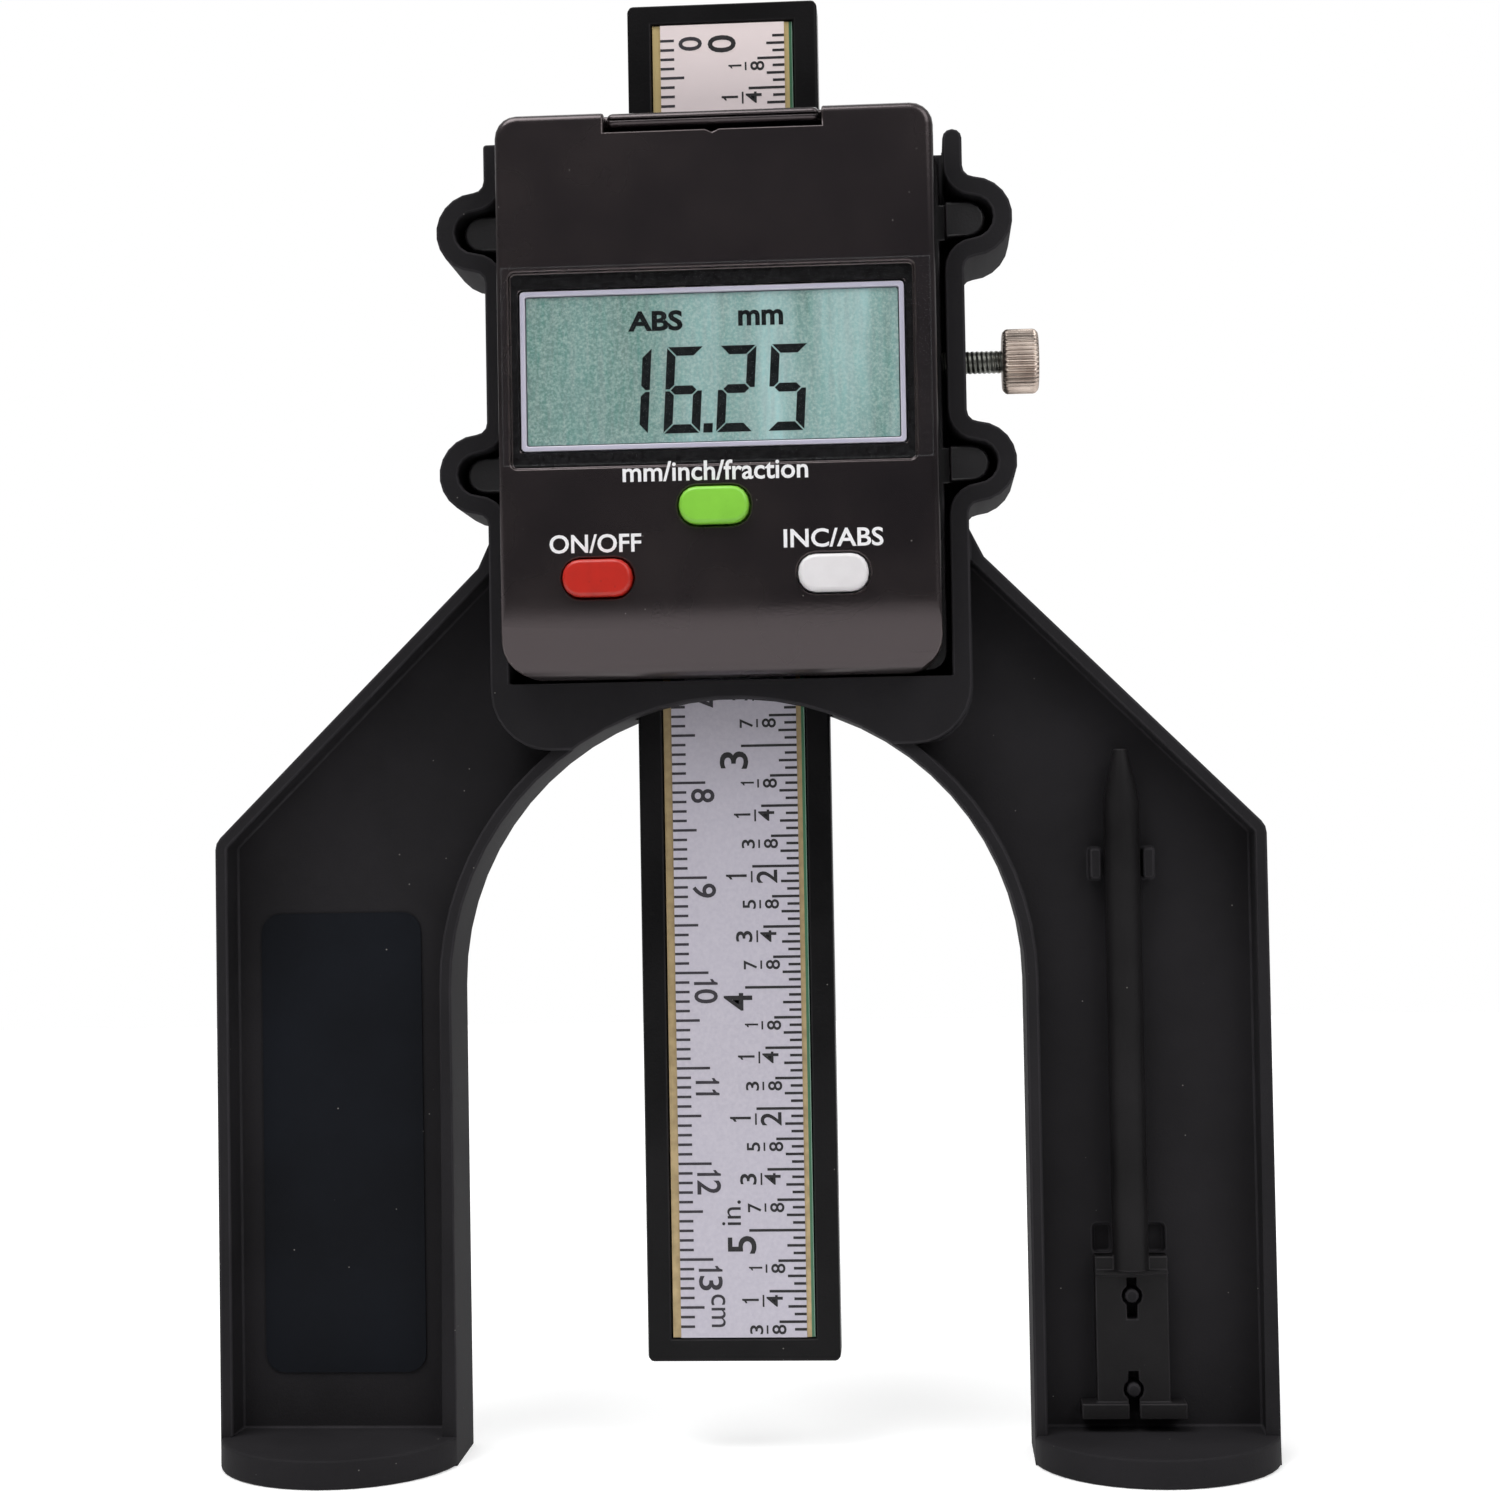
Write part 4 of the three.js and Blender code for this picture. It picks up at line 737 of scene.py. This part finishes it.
inch_x, inch_drop = -0.04 * mm, 1.5 * mm
inch_tall, inch_wide = 3.0 * mm, 1.85 * mm
cm_place = (-2.65 * mm, scale_zero - last_centimetre * centimetre - 5.35 * mm)
cm_tall, cm_wide = 1.5 * mm, 3.4 * mm
in_place = (-1.1 * mm, scale_zero - last_inch * inch + 1.85 * mm)
in_tall, in_wide = 2.0 * mm, 2.6 * mm
fraction_layouts = {
    8: {"drop": 0.81, "over": (1.33, 1.4, 0.95), "bar": (2.47, 0.88), "under": (3.71, 1.5, 1.0)},
    4: {"drop": 1.0, "over": (0.73, 1.75, 1.15), "bar": (2.1, 1.25), "under": (3.27, 1.7, 1.2)},
    2: {"drop": 1.09, "over": (0.0, 2.2, 1.3), "bar": (1.63, 1.2), "under": (3.22, 2.2, 1.4)},
}


def film_label():
    """Silver printed film: sparkle grain in tone and gloss, a soft drift of tone along its length, and
    painted light that makes it paler towards its top end.
    """
    finish, tree, place = new_finish("silver_label_film")
    grain = node(tree, "TexNoise", {"Vector": place, "Scale": 1 / (0.35 * mm), "Detail": 3.0})
    grain = node(tree, "MapRange", {"Value": grain, "From Min": 0.3, "From Max": 0.7})
    drift = node(tree, "TexNoise", {"Vector": place, "Scale": 1 / (30 * mm), "Detail": 2.0})
    body = node(tree, "Mix", {"Factor": grain, "A": linear("#cdc8d1"), "B": linear("#beb9c5")},
                data_type="RGBA")
    body = node(tree, "Mix", {"Factor": drift, "A": body, "B": linear("#cac6d4")}, data_type="RGBA")
    # Painted light: up the label the film is mixed towards near white, a painted highlight on its top end.
    along = node(tree, "SeparateXYZ", {"Vector": place}, take="Z")
    painted_top_light = node(tree, "MapRange", {"Value": along, "From Min": painted_light_low, "From Max": painted_light_high})
    body = node(tree, "Mix", {"Factor": painted_top_light, "A": body, "B": linear("#fff0f0")}, data_type="RGBA")
    gloss = node(tree, "MapRange", {"Value": grain, "To Min": 0.35, "To Max": 0.5})
    shader = node(tree, "BsdfPrincipled", {
        "Base Color": body, "Metallic": 0.12, "Roughness": gloss, "IOR": 1.5})
    node(tree, "OutputMaterial", {"Surface": shader})
    return finish


def marks(step, lengths, edge, way):
    """Scale marks as thin bars, one at each step below zero, from the label's edge inwards.

    A mark is as long as the table gives for the coarsest division that it falls on."""
    counts = np.arange(1, int(scale_long / step) + 1)
    longest = [next(size for part, size in lengths.items() if count % part == 0) for count in counts]
    z = scale_zero - counts * step
    start = np.full(len(z), edge)
    end = start + way * np.array(longest) * mm
    return raised(corners_of(np.stack([start, z - mark_line / 2, end, z + mark_line / 2], axis=-1)),
                  label_front, label_low.y)


left_marks = [marks(mm, millimetre_lengths, label_low.x, 1)]
right_marks = [marks(inch_part, inch_part_lengths, label_high.x, -1)]
for count in range(last_centimetre + 1):
    half = one_digit_half if count < 10 else two_digits_half
    place = (centimetre_x, scale_zero - count * centimetre - centimetre_drop - half)
    left_marks.append(lettering(str(count), centimetre_tall, place, label_front, digit=centimetre_wide,
                                turn=-1))
left_marks.append(lettering("cm", cm_tall, cm_place, label_front, wide=cm_wide, turn=-1))
for count in range(last_inch + 1):
    place = (inch_x, scale_zero - count * inch - inch_drop)
    right_marks.append(lettering(str(count), inch_tall, place, label_front, digit=inch_wide, turn=1))
right_marks.append(lettering("in.", in_tall, in_place, label_front, wide=in_wide, turn=1))
for count in range(4, int(scale_long / inch_part) + 1, 4):
    over, under = count % 32, 32
    if over == 0:
        continue
    while over % 2 == 0:
        over, under = over // 2, under // 2
    layout = fraction_layouts[under]
    z = scale_zero - count * inch_part - layout["drop"] * mm
    for words, key in ((str(over), "over"), (str(under), "under")):
        x, tall, wide = layout[key]
        right_marks.append(lettering(words, tall * mm, (x * mm, z), label_front, digit=wide * mm, turn=1))
    x, half = layout["bar"][0] * mm, layout["bar"][1] / 2 * mm
    bar = corners_of([(x - bar_line / 2, z - half, x + bar_line / 2, z + half)])
    right_marks.append(raised(bar, label_front, label_low.y))
eased("scale_label", film_label(), 0)
place_piece(solid_from("millimetre_marks", left_marks), printed("ink_dark_grey", "#2c2830"), "beam")
place_piece(solid_from("inch_marks", right_marks), printed("ink_black", "#121014"), "beam")

# Lock screw: a knurled nickel plated head on a blackened steel shank, turned in a brass insert.
# Its end pushes a brass shoe against the beam. The thread is metric, 0.5 mm pitch.
head_low, head_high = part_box("lock_screw_head")
shank_low, shank_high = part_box("lock_screw_shank")
lock_y = (head_low.y + head_high.y) / 2
lock_z = (head_low.z + head_high.z) / 2
head_radius = (head_high.z - head_low.z) / 2
head_chamfer = 0.35 * mm
head_crown = 0.06 * mm
head_lip = 0.05 * mm
head_cap_inset = 2.2 * mm
knurl_teeth = 40
points_per_tooth = 12
head_rings = 8
knurl_depth = 0.22 * mm
shank_radius = (shank_high.z - shank_low.z) / 2
shank_sides = 48
rings_per_pitch = 10
thread_pitch = 0.5 * mm
thread_depth = 0.1 * mm
thread_clear = 0.8 * mm
thread_clear_share = 0.2
tip_taper = 0.3 * mm
shoe_edge = 0.1 * mm


def skin(name, rings):
    """A closed mesh through rings of points, shaped (rings, points, 3), with a flat cap on each end.

    It is shaded smooth between its sharp edges."""
    count, around = rings.shape[:2]
    index = np.arange(count * around).reshape(count, around)
    beside = np.roll(index, -1, axis=1)
    quads = np.stack([index[:-1], beside[:-1], beside[1:], index[1:]], axis=-1).reshape(-1, 4)
    faces = quads.tolist() + [index[0].tolist(), index[-1].tolist()]
    piece = solid_from(name, [(rings.reshape(-1, 3), faces)])
    piece.data.polygons.foreach_set("use_smooth", np.ones(len(faces), bool))
    piece.data.set_sharp_from_angle(angle=sharp_turn)
    return piece


def turned_rings(along, radius):
    """Rings round the lock screw's axis: a point lies at its X, and at radius times cos and sin in Y, Z."""
    angle = np.linspace(0, 2 * math.pi, radius.shape[1], endpoint=False)
    x = np.broadcast_to(along[:, None], radius.shape)
    return np.stack([x, lock_y + radius * np.cos(angle), lock_z + radius * np.sin(angle)], axis=-1)


def knurled_head():
    """Straight knurl: the radius falls as a raised cosine between teeth, less towards the chamfered ends."""
    ends = np.array([[0.0, head_cap_inset], [0.0, head_chamfer * 1.6], [head_crown, head_chamfer],
                     [head_chamfer, head_lip], [head_chamfer * 1.6, 0.0]])
    middle = np.linspace(head_low.x + head_chamfer * 2, head_high.x - head_chamfer * 2, head_rings)
    along = np.concatenate([head_low.x + ends[:, 0], middle, (head_high.x - ends[:, 0])[::-1]])
    inset = np.concatenate([ends[:, 1], np.zeros(head_rings), ends[::-1, 1]])
    angle = np.linspace(0, 2 * math.pi, knurl_teeth * points_per_tooth, endpoint=False)
    valley = (0.5 - 0.5 * np.cos(knurl_teeth * angle)) ** 0.8
    full = np.clip(1 - inset / (head_chamfer * 1.2), 0, 1)
    radius = head_radius - inset[:, None] - knurl_depth * full[:, None] * valley
    return skin("knurled_head", turned_rings(along, radius))


def threaded_shank():
    """Thread: the radius falls as a rounded V along the axis, moved one pitch for each turn round it."""
    steps = int((shank_high.x - shank_low.x) / thread_pitch * rings_per_pitch)
    along = np.linspace(shank_low.x, shank_high.x, steps)
    angle = np.linspace(0, 2 * math.pi, shank_sides, endpoint=False)
    turns = along[:, None] / thread_pitch - angle / (2 * math.pi)
    groove = np.abs((turns % 1) * 2 - 1) ** 1.3
    near_head = np.clip((shank_high.x - along) / thread_clear - thread_clear_share, 0, 1)
    near_tip = np.clip((along - shank_low.x) / thread_clear, 0, 1)
    radius = shank_radius - thread_depth * groove * near_head[:, None]
    radius = radius - tip_taper * (1 - near_tip[:, None])
    return skin("threaded_shank", turned_rings(along, radius))


head_nickel = metal("nickel_plate_knurled", "#cdbfb4", "#a8988e", 0.34, streak=(2.5, 2.5, 2.5))
head = knurled_head()
place_piece(head, head_nickel, "lock_screw")
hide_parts("lock_screw_head")
black_steel = metal("blackened_steel", "#7f807a", "#52534e", 0.4, streak=(3, 1, 1))
shank = threaded_shank()
place_piece(shank, black_steel, "lock_screw")
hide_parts("lock_screw_shank")
turned_brass = metal("turned_brass", "#b9914a", "#8a6a34", 0.28, streak=(4, 0.6, 0.6))
eased("lock_shoe", turned_brass, shoe_edge)
eased("lock_insert", turned_brass, 0)

# Leg label: a blank blue-black film stuck in the left leg's tray, with rounded corners.
# The stored probe is a black ABS rod with a blunt point, pressed onto two pegs in the right tray.
probe_edge = 0.15 * mm
label_film = moulded("dark_label_film", "#0c0e13", "#20242c", 0.58, grain=0.4 * mm, relief=0.006 * mm,
                     dust=0.8, shine=0.1)
eased("leg_label", label_film, 0)
probe_abs = moulded("abs_probe_black", "#121112", "#353335", 0.5, shine=0.14)
eased("depth_probe", probe_abs, probe_edge)

# Stage: a white table and surroundings, bright behind and overhead and dimmer towards the reader.
# Camera, mirror and glass rays see plain white, and the table keeps the gauge's soft shadow.
table_half = 0.6
table_front = -0.35
scene = bpy.context.scene
scene.view_settings.view_transform = "Standard"
table_mesh = bpy.data.meshes.new("table")
table_mesh.from_pydata([(-table_half, table_front, 0), (table_half, table_front, 0),
                        (table_half, table_half, 0), (-table_half, table_half, 0)], [], [(0, 1, 2, 3)])
table = bpy.data.objects.new("table", table_mesh)
scene.collection.objects.link(table)
white_board, tree, place = new_finish("white_card")
seen = node(tree, "LightPath", take="Is Camera Ray")
mirrored = node(tree, "LightPath", take="Is Glossy Ray")
through = node(tree, "LightPath", take="Is Transmission Ray")
seen = node(tree, "Math", {0: seen, 1: mirrored}, operation="MAXIMUM")
seen = node(tree, "Math", {0: seen, 1: through}, operation="MAXIMUM")
paper = node(tree, "BsdfDiffuse", {"Color": linear("#e8e8e8")})
lift = node(tree, "Emission", {"Color": (1, 1, 1, 1), "Strength": 0.4})
both = node(tree, "AddShader", {0: paper, 1: lift})
surface = node(tree, "MixShader", {0: seen, 1: paper, 2: both})
node(tree, "OutputMaterial", {"Surface": surface})
table_mesh.materials.append(white_board)

world = bpy.data.worlds.new("studio")
world.use_nodes = True
world.node_tree.nodes.clear()
scene.world = world
tree = world.node_tree
heading = node(tree, "TexCoord", take="Generated")
height = node(tree, "SeparateXYZ", {"Vector": heading}, take="Z")
depth = node(tree, "SeparateXYZ", {"Vector": heading}, take="Y")
overhead = node(tree, "MapRange", {"Value": height, "From Min": 0.0, "From Max": 0.9, "To Min": 0.04,
                                   "To Max": 0.5})
behind = node(tree, "MapRange", {"Value": depth, "From Min": 0.0, "From Max": 0.8, "To Max": 0.28})
soft = node(tree, "Math", {0: overhead, 1: behind}, operation="ADD")
room = node(tree, "Background", {"Color": (1, 1, 1, 1), "Strength": soft})
plain = node(tree, "Background", {"Color": (1, 1, 1, 1), "Strength": 1.0})
seen = node(tree, "LightPath", take="Is Camera Ray")
backdrop = node(tree, "MapRange", {"Value": depth, "From Min": 0.2, "From Max": 0.7, "To Max": 0.2})
mirrored = node(tree, "LightPath", take="Is Glossy Ray")
through = node(tree, "LightPath", take="Is Transmission Ray")
mirrored = node(tree, "Math", {0: mirrored, 1: through}, operation="MAXIMUM")
mirrored = node(tree, "Math", {0: mirrored, 1: backdrop}, operation="MULTIPLY")
seen = node(tree, "Math", {0: seen, 1: mirrored}, operation="MAXIMUM")
sky = node(tree, "MixShader", {0: seen, 1: room, 2: plain})
node(tree, "OutputWorld", {"Surface": sky})

aim = Vector((0, 0, 80)) * mm
for name, at, power, size in (("key_lamp", (-0.3, -0.35, 0.95), 6.4, 0.6),
                              ("fill_lamp", (0.45, -0.45, 0.6), 2.4, 0.5),
                              ("back_lamp", (0.0, 0.6, 0.6), 1.5, 0.6)):
    lamp_data = bpy.data.lights.new(name, "AREA")
    lamp_data.energy = power
    lamp_data.size = size
    lamp = bpy.data.objects.new(name, lamp_data)
    lamp.matrix_world = (Matrix.Translation(Vector(at))
                         @ (aim - Vector(at)).to_track_quat("-Z", "Y").to_matrix().to_4x4())
    scene.collection.objects.link(lamp)
